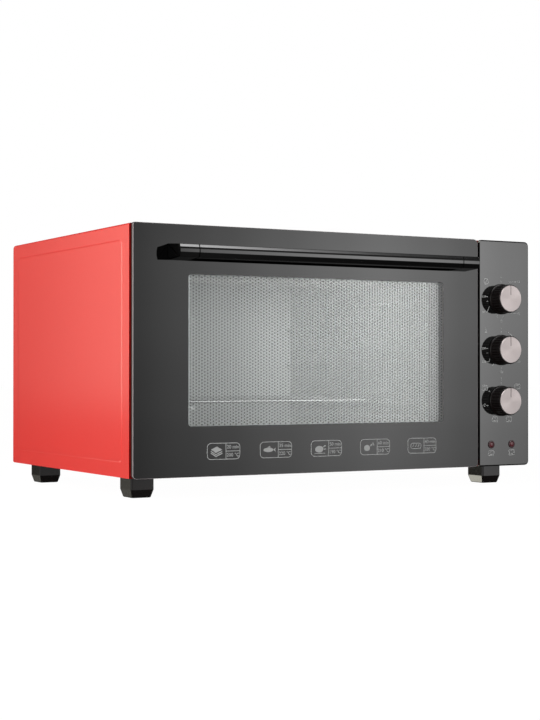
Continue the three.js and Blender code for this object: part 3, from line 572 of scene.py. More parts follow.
def make_foot(name):
    low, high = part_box(name)
    knee = high.z - FOOT_STRAIGHT
    levels = [(0, high.z), (0, knee), (FOOT_TAPER, low.z + FOOT_EDGE), (FOOT_TAPER + FOOT_EDGE, low.z)]
    loops = [
        [(x, y, z) for x, y in rounded(low.x + cut, high.x - cut, low.y + cut, high.y - cut, FOOT_CORNER, 3)]
        for cut, z in levels
    ]
    middle = middle_of(name)
    around = [atan2(y - middle.y, x - middle.x) for x, y, z in loops[0]]
    for z in (low.z, low.z + FOOT_RECESS_DEPTH):
        loops.append([
            (middle.x + FOOT_RECESS_RADIUS * cos(a), middle.y + FOOT_RECESS_RADIUS * sin(a), z)
            for a in around
        ])
    foot = new_object(f"{name}_moulding", skin(loops))
    dress(foot, "cabinet", [FOOT], [name], FOOT_SMOOTH_LIMIT)


for corner in ("front_left", "rear_left", "front_right", "rear_right"):
    make_foot(f"foot_{corner}")


# Glass front

GLASS_EDGE = 0.0004
LIT_EDGE = 0.001
FASCIA_CHAMFER = 0.0018
FASCIA_LEFT_SHARE = 0.15
PANE_SHIFT = 0.001
DOOR_CORNERS = (0.005, 0.005, 0.0065, 0.003)
FASCIA_CORNERS = (0.0015, 0.006, 0.006, 0.004)
WINDOW_LEFT = 0.0741
WINDOW_BOTTOM = 0.062
WINDOW_RIGHT_MARGIN = 0.0587
WINDOW_TOP_MARGIN = 0.0603
WINDOW_CORNER = 0.004
BACK_WINDOW_MARGIN = 0.005
INK_LIFT = 0.00008
SIDE_FACING = 1 / 3

door_low, door_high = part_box("door_glass")
fascia_low, fascia_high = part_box("control_fascia")
window_x0, window_x1 = door_low.x + WINDOW_LEFT, door_high.x - WINDOW_RIGHT_MARGIN
window_z0, window_z1 = door_low.z + WINDOW_BOTTOM, door_high.z - WINDOW_TOP_MARGIN
door_high.x -= PANE_SHIFT
fascia_low.x -= PANE_SHIFT


def pane_loops(low, high, radii, front_edge, left_share=1.0):
    """A pane's outer loops from its front face's edge to its back face's edge, edges polished round."""
    stations = [(inset, low.y + depth) for inset, depth in edge_arc(front_edge)]
    stations.append((0, low.y + front_edge + LIT_EDGE))
    stations += [(inset, high.y - depth) for inset, depth in reversed(edge_arc(GLASS_EDGE))]
    return [
        at_y(y, rounded(
            low.x + left_share * inset, high.x - inset, low.z + inset, high.z - inset,
            [max(r - inset, r / 4) for r in radii]))
        for inset, y in stations
    ]


def window_loop(y, left, right, ends):
    """The window's outline moved outwards by its margins; ends is the one above and below."""
    z0, z1 = window_z0 - ends, window_z1 + ends
    return at_y(y, rounded(window_x0 - left, window_x1 + right, z0, z1, WINDOW_CORNER))


def make_door_pane():
    outer = pane_loops(door_low, door_high, DOOR_CORNERS, GLASS_EDGE)
    loops = [window_loop(door_low.y, 0, 0, 0), *outer, window_loop(door_high.y, *[BACK_WINDOW_MARGIN] * 3)]
    front = len(outer) // 2
    bands = [0] + [1] * front + [3] * (len(outer) - 1 - front) + [0]
    bm = skin(loops, bands, (2, 2))
    # Painted shade: the upward-facing faces of the front edge take the dark edge material, so the top edge
    # reads darker than the left and bottom edges
    for face in bm.faces:
        if face.material_index == 1 and face.normal.z > SIDE_FACING:
            face.material_index = 3
    pane = new_object("door_pane", bm)
    dress(pane, "door", [DOOR_PRINT, EDGE, CLEAR, DOOR_SIDE_AND_SHADE], ["door_glass"])


make_door_pane()

TRIM_OUTER = (0.0095, 0.0095, 0.0095)
TRIM_INNER = (-0.0059, -0.0152, 0.002)


def make_glass_trim():
    """A steel border that holds the inner glass, a little narrower than the window on the right, and darkened
    as painted shade to show the shaded band at the window's right edge.
    """
    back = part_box("door_frame")[1].y
    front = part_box("inner_glass")[1].y
    loops = [
        window_loop(y, *margins)
        for y, margins in ((front, TRIM_OUTER), (front, TRIM_INNER), (back, TRIM_INNER), (back, TRIM_OUTER))
    ]
    bm = skin(loops + loops[:1], caps=(None, None))
    bmesh.ops.remove_doubles(bm, verts=bm.verts, dist=MERGE_DISTANCE)
    dress(new_object("glass_trim", bm), "door", [SHADED_TRIM])


make_glass_trim()

DOT_RADIUS = 0.00093
DOT_COLUMN_PITCH = 0.00395
DOT_ROW_PITCH = 0.00392
DOT_SIDES = 8
DOT_DEPTH = 0.0002


def make_dot_screen():
    """Staggered dark dots printed over the window."""
    bm = bmesh.new()
    columns = int((window_x1 - window_x0) / DOT_COLUMN_PITCH)
    rows = int((window_z1 - window_z0) / DOT_ROW_PITCH)
    first_x = (window_x0 + window_x1 - (columns - 1) * DOT_COLUMN_PITCH) / 2
    first_z = (window_z0 + window_z1 - (rows - 1) * DOT_ROW_PITCH) / 2
    y = door_low.y + DOT_DEPTH
    dot = [(DOT_RADIUS * cos(a), DOT_RADIUS * sin(a)) for a in circle(DOT_SIDES)]
    for column in range(columns):
        x = first_x + column * DOT_COLUMN_PITCH
        lift = (column % 2 - 1 / 2) * DOT_ROW_PITCH / 2
        for row in range(rows):
            z = first_z + row * DOT_ROW_PITCH + lift
            if not window_z0 + DOT_RADIUS < z < window_z1 - DOT_RADIUS:
                continue
            bm.faces.new([bm.verts.new((x + across, y, z + up)) for across, up in dot])
    screen = dress(new_object("dot_screen", bm), "door", [DOTS])
    screen.visible_shadow = False
    screen.visible_diffuse = False


make_dot_screen()


def make_fascia_pane():
    outer = pane_loops(fascia_low, fascia_high, FASCIA_CORNERS, FASCIA_CHAMFER, FASCIA_LEFT_SHARE)
    bm = skin(outer, [1] * (len(outer) - 1))
    for face in bm.faces:
        if face.normal.x < -SIDE_FACING:
            face.material_index = 0
    pane = new_object("fascia_pane", bm)
    dress(pane, "cabinet", [FASCIA_PRINT, FASCIA_SIDE], ["control_fascia"])


make_fascia_pane()


# Print on the glass

TEXT_SIZE_PER_BOLD = 90


class Ink:
    """Flat printed shapes on a front face, drawn in metres from a moving origin."""

    def __init__(self, y):
        self.bm = bmesh.new()
        self.y = y
        self.origin = Vector((0, 0))

    def at(self, x, z):
        self.origin = Vector((x, z))
        return self

    def fill(self, points):
        x, z = self.origin
        self.bm.faces.new([self.bm.verts.new((x + a, self.y, z + b)) for a, b in points])

    def stroke(self, points, width, closed=False):
        sides = []
        for before, here, after in neighbours(points, closed):
            arriving = (here - before if here != before else after - here).normalized()
            leaving = (after - here).normalized() if after != here else arriving
            along = (arriving + leaving).normalized()
            across = Vector((-along.y, along.x))
            reach = width / 2 / max(across.dot(Vector((-arriving.y, arriving.x))), 1 / 2)
            sides.append((here + across * reach, here - across * reach))
        for (a, b), (c, d) in zip(sides, sides[1:] + sides[:1] if closed else sides[1:]):
            self.fill([a, c, d, b])

    def arc(self, radius, width, start=0, end=360, steps=24):
        """Part of a ring, by clockwise degrees from straight up."""
        angles = spread(radians(end - start), steps, radians(start))
        points = [dial_point(radius, angle) for angle in angles]
        closed = end - start == 360
        self.stroke(points[:-1] if closed else points, width, closed)

    def disc(self, radius, a=0.0, b=0.0, squash=1.0, steps=20):
        self.fill([(a + radius * cos(t), b + squash * radius * sin(t)) for t in circle(steps)])

    def text(self, words, size, a, b):
        curve = bpy.data.curves.new("words", "FONT")
        curve.body = words
        curve.size = size
        curve.align_x = curve.align_y = "CENTER"
        curve.offset = size / TEXT_SIZE_PER_BOLD
        holder = place("words", curve)
        bpy.context.view_layer.update()
        mesh = holder.to_mesh()
        x, z = self.origin
        mesh.transform(Matrix(((1, 0, 0, x + a), (0, 0, 0, self.y), (0, 1, 0, z + b), (0, 0, 0, 1))))
        self.bm.from_mesh(mesh)
        holder.to_mesh_clear()
        bpy.data.objects.remove(holder)
        bpy.data.curves.remove(curve)


BOX_FIRST = 0.0998
BOX_PITCH = 0.0744
BOX_WIDTH = 0.0455
BOX_HEIGHT = 0.0198
BOX_BOTTOM = 0.021
BOX_CORNER = 0.005
BOX_DIVIDER = 0.57
BOX_LINE = 0.00085
BOX_TEXT = 0.0062


def toast(ink):
    ink.fill([(-0.008, 0.0022), (-0.001, -0.002), (0.0078, 0.0017), (0.0005, 0.006)])
    for lift in (-0.0021, 0.0001):
        ink.stroke([(-0.008, lift), (-0.001, lift - 0.0042), (0.0078, lift - 0.0005)], 0.0012)


def fish(ink):
    ink.disc(0.0072, -0.0012, 0, 0.38)
    ink.fill([(0.0061, 0), (0.0095, -0.0028), (0.0085, 0), (0.0095, 0.0028)])
    ink.fill([(-0.0032, 0.003), (0.001, 0.0048), (0.0018, 0.003)])


def roast(ink):
    ink.disc(0.0062, -0.001, -0.001, 0.68)
    ink.stroke([(0.0052, 0.0016), (0.0068, 0.0033), (0.0088, 0.0029)], 0.0014)
    ink.stroke([(0.006, -0.0016), (0.0088, -0.0006)], 0.0014)
    ink.stroke([(-0.0086, -0.0062), (0.0076, -0.0062)], 0.0008)


def joint_of_meat(ink):
    ink.disc(0.0046, -0.0028, -0.0012, 0.86)
    ink.stroke([(0.0019, 0.0014), (0.0054, 0.0033)], 0.0016)
    ink.disc(0.001, 0.0066, 0.0049)
    ink.disc(0.001, 0.0073, 0.0027)


def loaf(ink):
    ink.stroke(rounded(-0.0082, 0.0082, -0.0038, 0.0034, 0.0028, 4), 0.0008, closed=True)
    for a in (-0.0042, 0, 0.0042):
        ink.stroke([(a - 0.001, -0.0014), (a + 0.0012, 0.0022)], 0.0008)


def door_print():
    ink = Ink(door_low.y - INK_LIFT)
    dishes = [(toast, "20 min", "200 °C"), (fish, "35 min", "220 °C"), (roast, "50 min", "190 °C"),
              (joint_of_meat, "60 min", "210 °C"), (loaf, "40 min", "180 °C")]
    for index, (draw, minutes, degrees) in enumerate(dishes):
        x = door_low.x + BOX_FIRST + index * BOX_PITCH
        z = door_low.z + BOX_BOTTOM
        divider = BOX_WIDTH * BOX_DIVIDER
        right_middle = (divider + BOX_WIDTH) / 2
        ink.at(x, z)
        ink.stroke(rounded(0, BOX_WIDTH, 0, BOX_HEIGHT, BOX_CORNER), BOX_LINE, closed=True)
        edge = BOX_LINE / 2
        ink.stroke([(divider, edge), (divider, BOX_HEIGHT - edge)], BOX_LINE)
        ink.stroke([(divider + edge, BOX_HEIGHT / 2), (BOX_WIDTH - edge, BOX_HEIGHT / 2)], BOX_LINE)
        ink.text(minutes, BOX_TEXT, right_middle, BOX_HEIGHT * 3 / 4)
        ink.text(degrees, BOX_TEXT, right_middle, BOX_HEIGHT / 4)
        draw(ink.at(x + divider / 2, z + BOX_HEIGHT / 2))
    dress(new_object("door_print", ink.bm), "door", [DOOR_INK])


door_print()

DIAL_TICK_START = 0.0226
DIAL_TICK_END = 0.0256
DIAL_LINE = 0.0006
DIAL_TEXT = 0.0044
ICON_WIDTH = 0.0088
ICON_HEIGHT = 0.0068
COLUMN = 0.0299
LEADER_END = 0.0262
WEDGE_RADIUS = 0.0268
WEDGE_START = 18
WEDGE_STEP = 5
WEDGE_WIDTHS = [0.0004 + 0.00016 * k for k in range(8)]
LAMP_ICON_DROP = 0.0062


def ticks(ink, knob, angles):
    """Ticks round a knob, whose centre becomes the origin."""
    ink.at(knob.x, knob.z)
    for angle in map(radians, angles):
        ink.stroke([dial_point(DIAL_TICK_START, angle), dial_point(DIAL_TICK_END, angle)], DIAL_LINE)


def led_numbers(ink, numbers):
    """Numbers in the columns beside a knob, each with a line that leads to it from its place on the dial."""
    for number, angle, b in numbers:
        a, start = dial_point(DIAL_TICK_START, radians(angle))
        side = copysign(1, a)
        ink.stroke([(a, start), (a + side * abs(b - start) / 2, b), (side * LEADER_END, b)], DIAL_LINE)
        ink.text(str(number), DIAL_TEXT, side * COLUMN, b)


def function_icon(ink, x, z, top, bottom):
    """A wide oven with its upper, lower or both heaters marked."""
    ink.at(x, z)
    a, b = ICON_WIDTH / 2, ICON_HEIGHT / 2
    ink.stroke(rounded(-a, a, -b, b, ICON_HEIGHT / 6, 3), DIAL_LINE, closed=True)
    for wanted, height in ((top, b / 2), (bottom, -b / 2)):
        if wanted:
            ink.stroke([(-a / 2, height), (a / 2, height)], DIAL_LINE)


def fascia_print():
    ink = Ink(fascia_low.y - INK_LIFT)
    timer, thermostat, selector = [middle_of(f"{name}_knob") for name in CONTROLS]
    ticks(ink, timer, (0, 75, 100, 172, 196, 262))
    ink.text("0", DIAL_TEXT, 0, COLUMN)
    ink.text("75", DIAL_TEXT, 0, -COLUMN)
    led_numbers(ink, ((10, 32, 0.0244), (60, 146, -0.0189), (90, 243, -0.0183), (110, 276, 0.0029)))
    ink.at(timer.x - 0.0259, timer.z + 0.0238)
    ink.arc(0.0038, 0.0009)
    ink.stroke([(-0.0011, -0.0018), (0.0012, 0.0018)], 0.0008)
    ticks(ink, thermostat, (0, 90, 145, 178, 215, 260))
    ink.disc(0.0008, 0, COLUMN)
    ink.text("150", DIAL_TEXT, 0, -COLUMN)
    led_numbers(ink, ((100, 118, -0.0158), (200, 238, -0.0161), (250, 276, 0.0019)))
    for k, width in enumerate(WEDGE_WIDTHS):
        start = WEDGE_START + WEDGE_STEP * k
        ink.arc(WEDGE_RADIUS, width, start, start + WEDGE_STEP, 3)
    ink.at(thermostat.x - 0.0262, thermostat.z + 0.0268)
    ink.disc(0.0013, 0, -0.0026)
    ink.stroke([(0, -0.0012), (0, 0.0034)], 0.001)
    ticks(ink, selector, (0, 55, 153, 203, 255, 303))
    ink.stroke([(0, DIAL_TICK_END + 0.0022), (0, DIAL_TICK_END + 0.006)], DIAL_LINE)
    for a, b, top, bottom in ((0.0279, 0.0197, True, False), (0.0129, -0.0253, False, True),
                              (-0.0109, -0.025, True, True), (-0.0281, 0.0181, True, True)):
        function_icon(ink, selector.x + a, selector.z + b, top, bottom)
    ink.at(selector.x - 0.0284, selector.z - 0.007)
    ink.arc(0.0028, DIAL_LINE, -80, 80, 10)
    ink.disc(0.0009)
    for side, (top, bottom) in (("left", (True, True)), ("right", (False, True))):
        lamp = f"indicator_lamp_{side}"
        function_icon(ink, middle_of(lamp).x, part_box(lamp)[0].z - LAMP_ICON_DROP, top, bottom)
    dress(new_object("fascia_print", ink.bm), "cabinet", [FASCIA_INK])


fascia_print()


# Handle

HANDLE_NOSE = 0.0024
FACE_BELOW = 0.0026
FACE_ABOVE = 0.0014
BROW_ABOVE = 0.0038
BROW_DEPTH = 0.0005
HANDLE_SEAM = 0.0007
HANDLE_END_ROUND = 0.0013
FOOT_BELOW = 0.01045
FOOT_ABOVE = 0.00965
NOSE_BELOW = 0.0083
NOSE_ABOVE = 0.00745
NOSE_ROUNDS = (0.0004, 0.0004, 0.0003, 0.0003, 0.0006)
REAR_ROUND = 0.001
END_REAR_ROUND = 0.0003

bar_low, bar_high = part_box("handle_bar")
handle_front = bar_low.y
handle_height = middle_of("handle_screw_left").z


def handle_profile(rear, rear_round):
    """The handle from the side as (y, z) points: wide at the glass, blunt at the nose."""
    nose = handle_front + HANDLE_NOSE

    def reach(foot, tip):
        return foot + (tip - foot) * (door_low.y - rear) / (door_low.y - nose)

    points = [
        (rear, -reach(FOOT_BELOW, NOSE_BELOW)), (nose, -NOSE_BELOW), (handle_front, -FACE_BELOW),
        (handle_front, FACE_ABOVE), (handle_front + BROW_DEPTH, BROW_ABOVE), (nose, NOSE_ABOVE),
        (rear, reach(FOOT_ABOVE, NOSE_ABOVE)),
    ]
    points = [(y, handle_height + z) for y, z in points]
    return round_corners(points, [rear_round, *NOSE_ROUNDS, rear_round])


def along_x(profile, stations):
    return [at_x(x, shrink(profile, inset)) for x, inset in stations]


def make_handle():
    bar = handle_profile(bar_high.y, REAR_ROUND)
    stations = [
        (bar_low.x, HANDLE_SEAM), (bar_low.x + HANDLE_SEAM, 0),
        (bar_high.x - HANDLE_SEAM, 0), (bar_high.x, HANDLE_SEAM),
    ]
    grip = new_object("handle_grip", skin(along_x(bar, stations), (1, 0, 1), (1, 1)))
    dress(grip, "door", [GLOSS, HANDLE_SIDE], ["handle_bar"])
    end = handle_profile(door_low.y, END_REAR_ROUND)
    for side, inner, outward in (("left", bar_low.x, -1), ("right", bar_high.x, 1)):
        low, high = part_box(f"handle_end_{side}")
        outer = low.x if outward < 0 else high.x
        stations = [(inner, HANDLE_SEAM), (inner + outward * HANDLE_SEAM, 0)]
        arc = reversed(edge_arc(HANDLE_END_ROUND))
        stations += [(outer - outward * depth, inset) for inset, depth in arc]
        bands = [1, 0] + [1] * (len(stations) - 3)
        cap = new_object(f"handle_cap_{side}", skin(along_x(end, stations), bands, (1, 1)))
        dress(cap, "door", [GLOSS, HANDLE_SIDE], [f"handle_end_{side}"])


make_handle()


# Knobs and lamps

KNOB_RIM = 0.0208
KNOB_RIM_THICKNESS = 0.002
KNOB_GRIP = 0.0194
KNOB_FLUTES = 28
KNOB_FLUTE_DEPTH = 0.0008
KNOB_EDGE = 0.0006
CAP_THICKNESS = 0.002
CAP_RECESS = 0.0012
POINTER_WIDTH = 0.001
POINTER_DEPTH = 0.0006
POINTER_START = 0.0052
FLUTE_STEPS = 10
DISC_SIDES = 96
KNOB_SMOOTH_LIMIT = radians(50)


def fluted(radius, angle):
    """Ridges with round tops and narrow grooves between them, only on the grip."""
    if radius > KNOB_GRIP:
        return radius
    groove = (1 - abs(sin(angle * KNOB_FLUTES / 2))) ** 2
    return radius - KNOB_FLUTE_DEPTH * groove


def front_middle(name):
    """A piece's centre seen from the front, with y left at zero."""
    middle = middle_of(name)
    middle.y = 0
    return middle


def make_knob(control):
    low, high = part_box(f"{control}_knob")
    cap_low, cap_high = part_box(f"{control}_knob_cap")
    centre = front_middle(f"{control}_knob")
    cap_radius = (cap_high.x - cap_low.x) / 2
    rim_front = high.y - KNOB_RIM_THICKNESS
    profile = [
        (KNOB_RIM - KNOB_EDGE, high.y), (KNOB_RIM, high.y - KNOB_EDGE), (KNOB_RIM, rim_front + KNOB_EDGE),
        (KNOB_RIM - KNOB_EDGE, rim_front), (KNOB_GRIP, rim_front - KNOB_EDGE / 2),
        (KNOB_GRIP, low.y + KNOB_EDGE), (KNOB_GRIP - KNOB_EDGE / 3, low.y + KNOB_EDGE / 4),
        (KNOB_GRIP - KNOB_EDGE, low.y), (cap_radius, low.y), (cap_radius, low.y + CAP_RECESS),
    ]
    knob = new_object(f"{control}_grip", skin(turned(profile, KNOB_FLUTES * FLUTE_STEPS, fluted)), centre)
    dress(knob, f"{control}_control", [KNOB], [f"{control}_knob"], KNOB_SMOOTH_LIMIT)
    edge = CAP_THICKNESS / 5
    front = cap_low.y
    disc = [(cap_radius - edge, front), (cap_radius, front + edge), (cap_radius, cap_high.y)]
    cap = new_object(f"{control}_disc", skin(turned(disc, DISC_SIDES)), centre)
    slot = bmesh.new()
    bmesh.ops.create_cube(slot, size=1)
    length = cap_radius + edge - POINTER_START
    middle = Vector((0, front, POINTER_START + length / 2))
    bmesh.ops.transform(slot, matrix=Matrix.Translation(middle) @ Matrix.Diagonal(
        (POINTER_WIDTH, 2 * POINTER_DEPTH, length, 1)), verts=slot.verts)
    cutter = new_object("pointer_cutter", slot, centre)
    cut = cap.modifiers.new("pointer", "BOOLEAN")
    cut.operation = "DIFFERENCE"
    cut.solver = "EXACT"
    cut.object = cutter
    bpy.context.view_layer.update()
    mesh = bpy.data.meshes.new_from_object(cap.evaluated_get(bpy.context.evaluated_depsgraph_get()))
    cap.modifiers.clear()
    cap.data = mesh
    bpy.data.objects.remove(cutter)
    for face in mesh.polygons:
        middle = face.center
        in_slot = abs(middle.x) < POINTER_WIDTH and middle.z > POINTER_START - edge
        face.material_index = int(in_slot and front + edge / 8 < middle.y <= front + POINTER_DEPTH * 1.01)
    dress(cap, f"{control}_control", [CHAMPAGNE, GROOVE], [f"{control}_knob_cap"])


for control in CONTROLS:
    make_knob(control)

LAMP_FLANGE = 0.0053
LAMP_LENS = 0.0034
LAMP_DISH = 0.0007
LAMP_SIDES = 40


def make_lamp(side):
    name = f"indicator_lamp_{side}"
    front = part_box(name)[0].y
    profile = [(LAMP_FLANGE, door_low.y - LAMP_DISH / 4)]
    profile += [(LAMP_FLANGE - inset, front + depth) for inset, depth in reversed(edge_arc(LAMP_DISH))]
    profile += [(LAMP_LENS + LAMP_DISH / 2, front), (LAMP_LENS, front + LAMP_DISH)]
    bands = [0] * (len(profile) - 1)
    for angle in spread(QUARTER, ROUND_STEPS)[1:-1]:
        profile.append((LAMP_LENS * cos(angle), front + LAMP_DISH * (1 - sin(angle))))
        bands.append(1)
    bm = skin(turned(profile, LAMP_SIDES), bands, (0, 1))
    lamp = new_object(f"lamp_{side}", bm, front_middle(name))
    dress(lamp, "cabinet", [LENS_RIM, LENS], [name])


for side in BOTH_SIDES:
    make_lamp(side)


# Rack and heaters

RACK_FRAME = 0.0025
RACK_WIRE = 0.0015
RACK_STAY = 0.002
RACK_CORNER = 0.005
RACK_FRONT_LIFT = 0.0013
RACK_WIRES = 15
ROUND_SIDES = 16


def make_rack():
    low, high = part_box("wire_rack")
    x0, x1 = low.x + RACK_FRAME, high.x - RACK_FRAME
    y0, y1 = low.y + RACK_FRAME, high.y - RACK_FRAME
    level = low.z + RACK_FRAME
    front_level = level + RACK_FRONT_LIFT
    top = high.z - RACK_WIRE
    bm = bmesh.new()
    corners = [(x0, y0, front_level), (x1, y0, front_level), (x1, y1, level), (x0, y1, level)]
    tube(bm, bent_path(corners, RACK_CORNER, closed=True), RACK_FRAME, ROUND_SIDES, closed=True)
    for index in range(1, RACK_WIRES + 1):
        x = x0 + (x1 - x0) * index / (RACK_WIRES + 1)
        tube(bm, [(x, y0, top), (x, y1, top)], RACK_WIRE)
    middle = (y0 + y1) / 2
    tube(bm, [(x0, middle, level), (x1, middle, level)], RACK_STAY)
    dress(new_object("rack_wires", bm), "rack", [RACK], ["wire_rack"])


make_rack()

ROD_RADIUS = 0.00325
ROD_BEND = 0.022
ROD_SPACING = 0.056
FLANGE_LENGTH = 0.084
FLANGE_HEIGHT = 0.016
FLANGE_THICKNESS = 0.0015
TERMINAL_RADIUS = 0.0016
TERMINAL_LENGTH = 0.03


def make_heater(name):
    low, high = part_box(name)
    level = (low.z + high.z) / 2
    middle = (low.y + high.y) / 2
    front, rear = middle - ROD_SPACING / 2, middle + ROD_SPACING / 2
    wall = high.x - TERMINAL_LENGTH
    bm = bmesh.new()
    bend = low.x + ROD_RADIUS
    corners = [(wall, front, level), (bend, front, level), (bend, rear, level), (wall, rear, level)]
    tube(bm, bent_path(corners, ROD_BEND), ROD_RADIUS, ROUND_SIDES)
    for y in (front, rear):
        tube(bm, [(wall, y, level), (high.x, y, level)], TERMINAL_RADIUS)
    along, up = FLANGE_LENGTH / 2, FLANGE_HEIGHT / 2
    plate = rounded(middle - along, middle + along, level - up, level + up, FLANGE_HEIGHT / 4)
    for ring in join_loops(bm, [at_x(x, plate) for x in (wall, wall + FLANGE_THICKNESS)]):
        bm.faces.new(ring)
    dress(new_object(f"{name}_rod", bm), "cabinet", [ROD], [name])


for name in ("upper_heater", "lower_heater"):
    make_heater(name)


# Materials of the solids that keep their shape

KEPT = {
    RED: ["base_panel"],
    ZINC: ["control_partition", "fascia_carrier", "timer_body", "front_frame"],
    CAVITY: ["cavity_liner", "cavity_back"],
    SHADED_CAVITY: ["rack_guide_left", "rack_guide_right", "thermostat_bulb"],
    ENAMEL: ["door_frame"],
    CLEAR: ["inner_glass"],
    BRIGHT: [f"{control}_shaft" for control in CONTROLS],
    CERAMIC: ["thermostat_body", "terminal_block"],
    KNOB: ["selector_body", "cord_gland"],
    WIRE: ["wiring_loom"],
}
PAIRED = {
    ZINC: ["hinge_bracket", "hinge_arm"],
    BRIGHT: ["hinge_pin", "hinge_spring", "handle_screw", "back_screw_lower", "back_screw_upper",
             "foot_screw_front", "foot_screw_rear"],
}
for material, names in PAIRED.items():
    KEPT[material] += [f"{name}_{side}" for name in names for side in BOTH_SIDES]
for material, names in KEPT.items():
    for name in names:
        nodes[name].data.materials.clear()
        nodes[name].data.materials.append(material)


# Floor, light and camera

FLOOR_RADIUS = 14
FLOOR_GLOW = 0.985
FLOOR_SHARE = 0.08
FLOOR_SIDES = 96


def make_floor():
    bm = bmesh.new()
    bmesh.ops.create_circle(bm, cap_ends=True, radius=FLOOR_RADIUS, segments=FLOOR_SIDES)
    floor = new_object("floor", bm)
    s = Shader("pale_floor", specular=0.0)
    s.colour(s.noise(3), (0.56, 0.56, 0.56), (0.6, 0.6, 0.6))
    s.roughness(s.noise(20), 0.8, 0.9)
    seen = s.add("LightPath").outputs
    glow = s.add("Emission", {"Strength": FLOOR_GLOW / (1 - FLOOR_SHARE)})
    direct = {0: seen["Is Camera Ray"], 1: seen["Is Transmission Ray"]}
    direct = s.add("Math", direct, operation="MAXIMUM").outputs["Value"]
    share = s.add("Math", {0: direct, 1: 1 - FLOOR_SHARE}, operation="MULTIPLY").outputs["Value"]
    s.blend(share, s.surface.outputs["BSDF"], glow.outputs["Emission"])
    floor.data.materials.append(s.material)
    floor.visible_glossy = False


make_floor()

ROOM_LIGHT = 0.36
ROOM_TOP_SHARE = 0.3
ROOM_RISE = 0.2
FRONT_PANEL = (
    (0, 0.6), (15, 0.6), (24.3, 0.85), (25.4, 1.13), (26.3, 1.36), (27.7, 1.65), (29.8, 2.24), (31.8, 2.84),
    (33.6, 3.3), (35.6, 2.76), (36.8, 2.26), (38.2, 1.84), (40, 1.35), (75, 1.0), (180, 0.7))
FRONT_RISE = (
    (-90, 0.03), (-22, 0.03), (-12, 0.2), (-6, 0.5), (-4, 0.62), (-2.6, 0.7), (-0.9, 0.83), (2.3, 1.0),
    (4.1, 1.03), (5.8, 0.94), (16, 0.9), (24, 0.06), (90, 0.06))
OVERHEAD_ROUND = (
    (0, 6.2), (45.5, 6.2), (51, 1.6), (54, 0.4), (58, 0.05), (75, 0.03), (120, 0.2), (180, 0.6))
OVERHEAD_RISE = ((-90, 0), (38, 0), (48, 1.0), (60, 1.0), (72, 0.12), (90, 0.08))
SIDE_TINT = (1, 0.98, 0.85)

# Smooth steps of the studio's side part: from one angle in degrees to another, and the levels at the two.
# Round ones go by the angle round the object, rise ones by the angle above the horizon.
SIDE_ROUND = (-140, -120, 1, 0)
SIDE_LEVEL_ROUND = (-161, -152, 0.13, 2.25)
SIDE_RISE = (-2.3, -0.2)
BELOW_ROUND = (-149, -145, 0.27, 0.05)
OVER_RISE = (5, 11, 1, 0.85)
GLINT_ROUND = (-150, -142, 0, 1.7)
GLINT_RISE = (-4.2, -2.8, 0, 1)
UNDER_RISE = (-28, -25, 0, 1)
UNDER_FADE_RISE = (-13, -7.5, 8, 0)


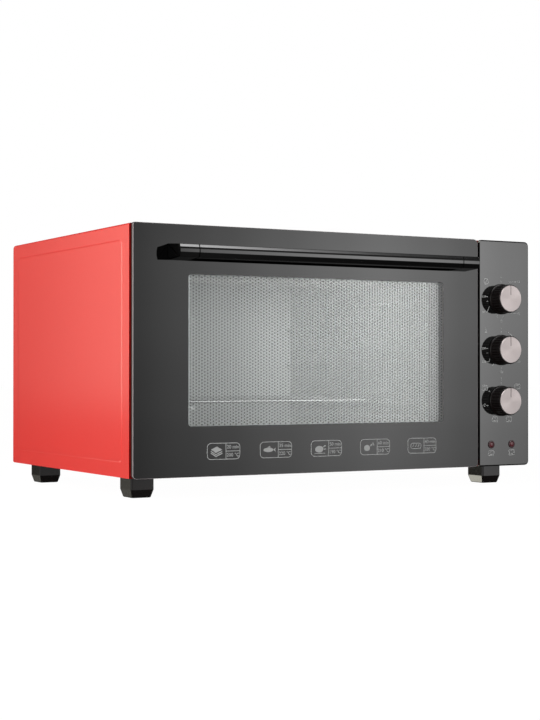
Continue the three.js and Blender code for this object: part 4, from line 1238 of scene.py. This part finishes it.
def make_world():
    """White to the camera, plain soft light on the object, and a studio with bright panels for gloss."""
    world = bpy.data.worlds.new("studio")
    bpy.context.scene.world = world
    world.use_nodes = True
    tree = world.node_tree
    tree.nodes.clear()

    def result(kind, *values, **properties):
        return add_node(tree, kind, dict(enumerate(values)), **properties).outputs[0]

    def calculate(operation, *values):
        return result("Math", *values, operation=operation)

    def times(first, second):
        return calculate("MULTIPLY", first, second)

    def ramp(stops, factor, position):
        """Levels along a factor from 0 to 1; position turns a stop's angle in degrees into that factor."""
        node = add_node(tree, "ValToRGB", {"Fac": factor})
        node.color_ramp.interpolation = "EASE"
        highest = max(level for _, level in stops)
        elements = node.color_ramp.elements
        for index, (degrees, level) in enumerate(stops):
            stop = elements[index] if index < 2 else elements.new(1)
            stop.position = position(degrees)
            stop.color = (*[level / highest] * 3, 1)
        return times(node.outputs["Color"], highest)

    def between(*values):
        """A smooth step, from a value, its start and end, and the levels there."""
        return result("MapRange", *values, interpolation_type="SMOOTHSTEP")

    direction = add_node(tree, "TexCoord").outputs["Generated"]
    parts = add_node(tree, "SeparateXYZ", {"Vector": direction}).outputs
    height = parts["Z"]
    azimuth = calculate("ARCTAN2", parts["X"], times(parts["Y"], -1))
    round_share = calculate("DIVIDE", calculate("ABSOLUTE", azimuth), pi)
    rise_share = calculate("MULTIPLY_ADD", height, 1 / 2, 1 / 2)

    def by_round(stops):
        return ramp(stops, round_share, lambda degrees: degrees / 180)

    def by_rise(stops):
        return ramp(stops, rise_share, lambda degrees: (1 + sin(radians(degrees))) / 2)

    def round_step(start, end, *levels):
        return between(azimuth, radians(start), radians(end), *levels)

    def rise_step(start, end, *levels):
        return between(height, sin(radians(start)), sin(radians(end)), *levels)

    front = times(by_round(FRONT_PANEL), by_rise(FRONT_RISE))
    overhead = times(by_round(OVERHEAD_ROUND), by_rise(OVERHEAD_RISE))
    glint = calculate("MULTIPLY_ADD", round_step(*GLINT_ROUND), rise_step(*GLINT_RISE), 1)
    below = round_step(*BELOW_ROUND)
    upward = times(rise_step(*SIDE_RISE, below, 1), rise_step(*OVER_RISE))
    under = times(rise_step(*UNDER_FADE_RISE), rise_step(*UNDER_RISE))
    upward = calculate("MULTIPLY_ADD", upward, under, upward)
    side_level = times(times(round_step(*SIDE_LEVEL_ROUND), glint), upward)
    at_side = round_step(*SIDE_ROUND)
    front_part = times(calculate("SUBTRACT", 1, at_side), front)
    studio = calculate("ADD", calculate("ADD", times(at_side, side_level), front_part), overhead)
    rays = add_node(tree, "LightPath").outputs
    glossy = rays["Is Glossy Ray"]
    white = calculate("MAXIMUM", rays["Is Camera Ray"], rays["Is Transmission Ray"])
    plain_share = calculate("SUBTRACT", calculate("SUBTRACT", 1, glossy), white)
    room = between(height, ROOM_RISE, 1, ROOM_LIGHT, ROOM_LIGHT * ROOM_TOP_SHARE)
    plain_part = times(calculate("MAXIMUM", plain_share, 0), room)
    level = calculate("ADD", calculate("ADD", white, times(glossy, studio)), plain_part)
    inputs = {"Factor": times(at_side, glossy), 6: (1, 1, 1, 1), 7: (*SIDE_TINT, 1)}
    tint = add_node(tree, "Mix", inputs, data_type="RGBA").outputs[2]
    background = add_node(tree, "Background", {"Color": tint, "Strength": level})
    add_node(tree, "OutputWorld", {"Surface": background.outputs["Background"]})


make_world()


# Name, place, diameter and power in watts of each soft lamp, all aimed at the object's middle
LAMPS = (
    ("key", (-2.45, -2.62, 0.2), 1.6, 102),
    ("side_light", (-2.4, -0.9, 1.1), 1.2, 22),
    ("front_light", (-0.25, -3.0, 0.15), 1.2, 38),
)

object_middle = (Vector(cad_bounds[0]) + Vector(cad_bounds[1])) / 2
for name, location, size, power in LAMPS:
    lamp = bpy.data.lights.new(name, "AREA")
    lamp.shape = "DISK"
    lamp.size = size
    lamp.energy = power
    light = place(name, lamp, location)
    light.rotation_euler = (object_middle - Vector(location)).to_track_quat("-Z", "Y").to_euler()
    light.visible_glossy = False

CAMERA_PLACE = (-1.0711, -1.88975, 0.1546)
CAMERA_AHEAD = (0.4922, 0.8704, 0.0077)
CAMERA_LENS = 77.63

camera_data = bpy.data.cameras.new("camera")
camera_data.lens = CAMERA_LENS
camera = place("camera", camera_data, CAMERA_PLACE)
camera.rotation_euler = Vector(CAMERA_AHEAD).to_track_quat("-Z", "Y").to_euler()
bpy.context.scene.camera = camera
bpy.context.scene.view_settings.view_transform = "Standard"
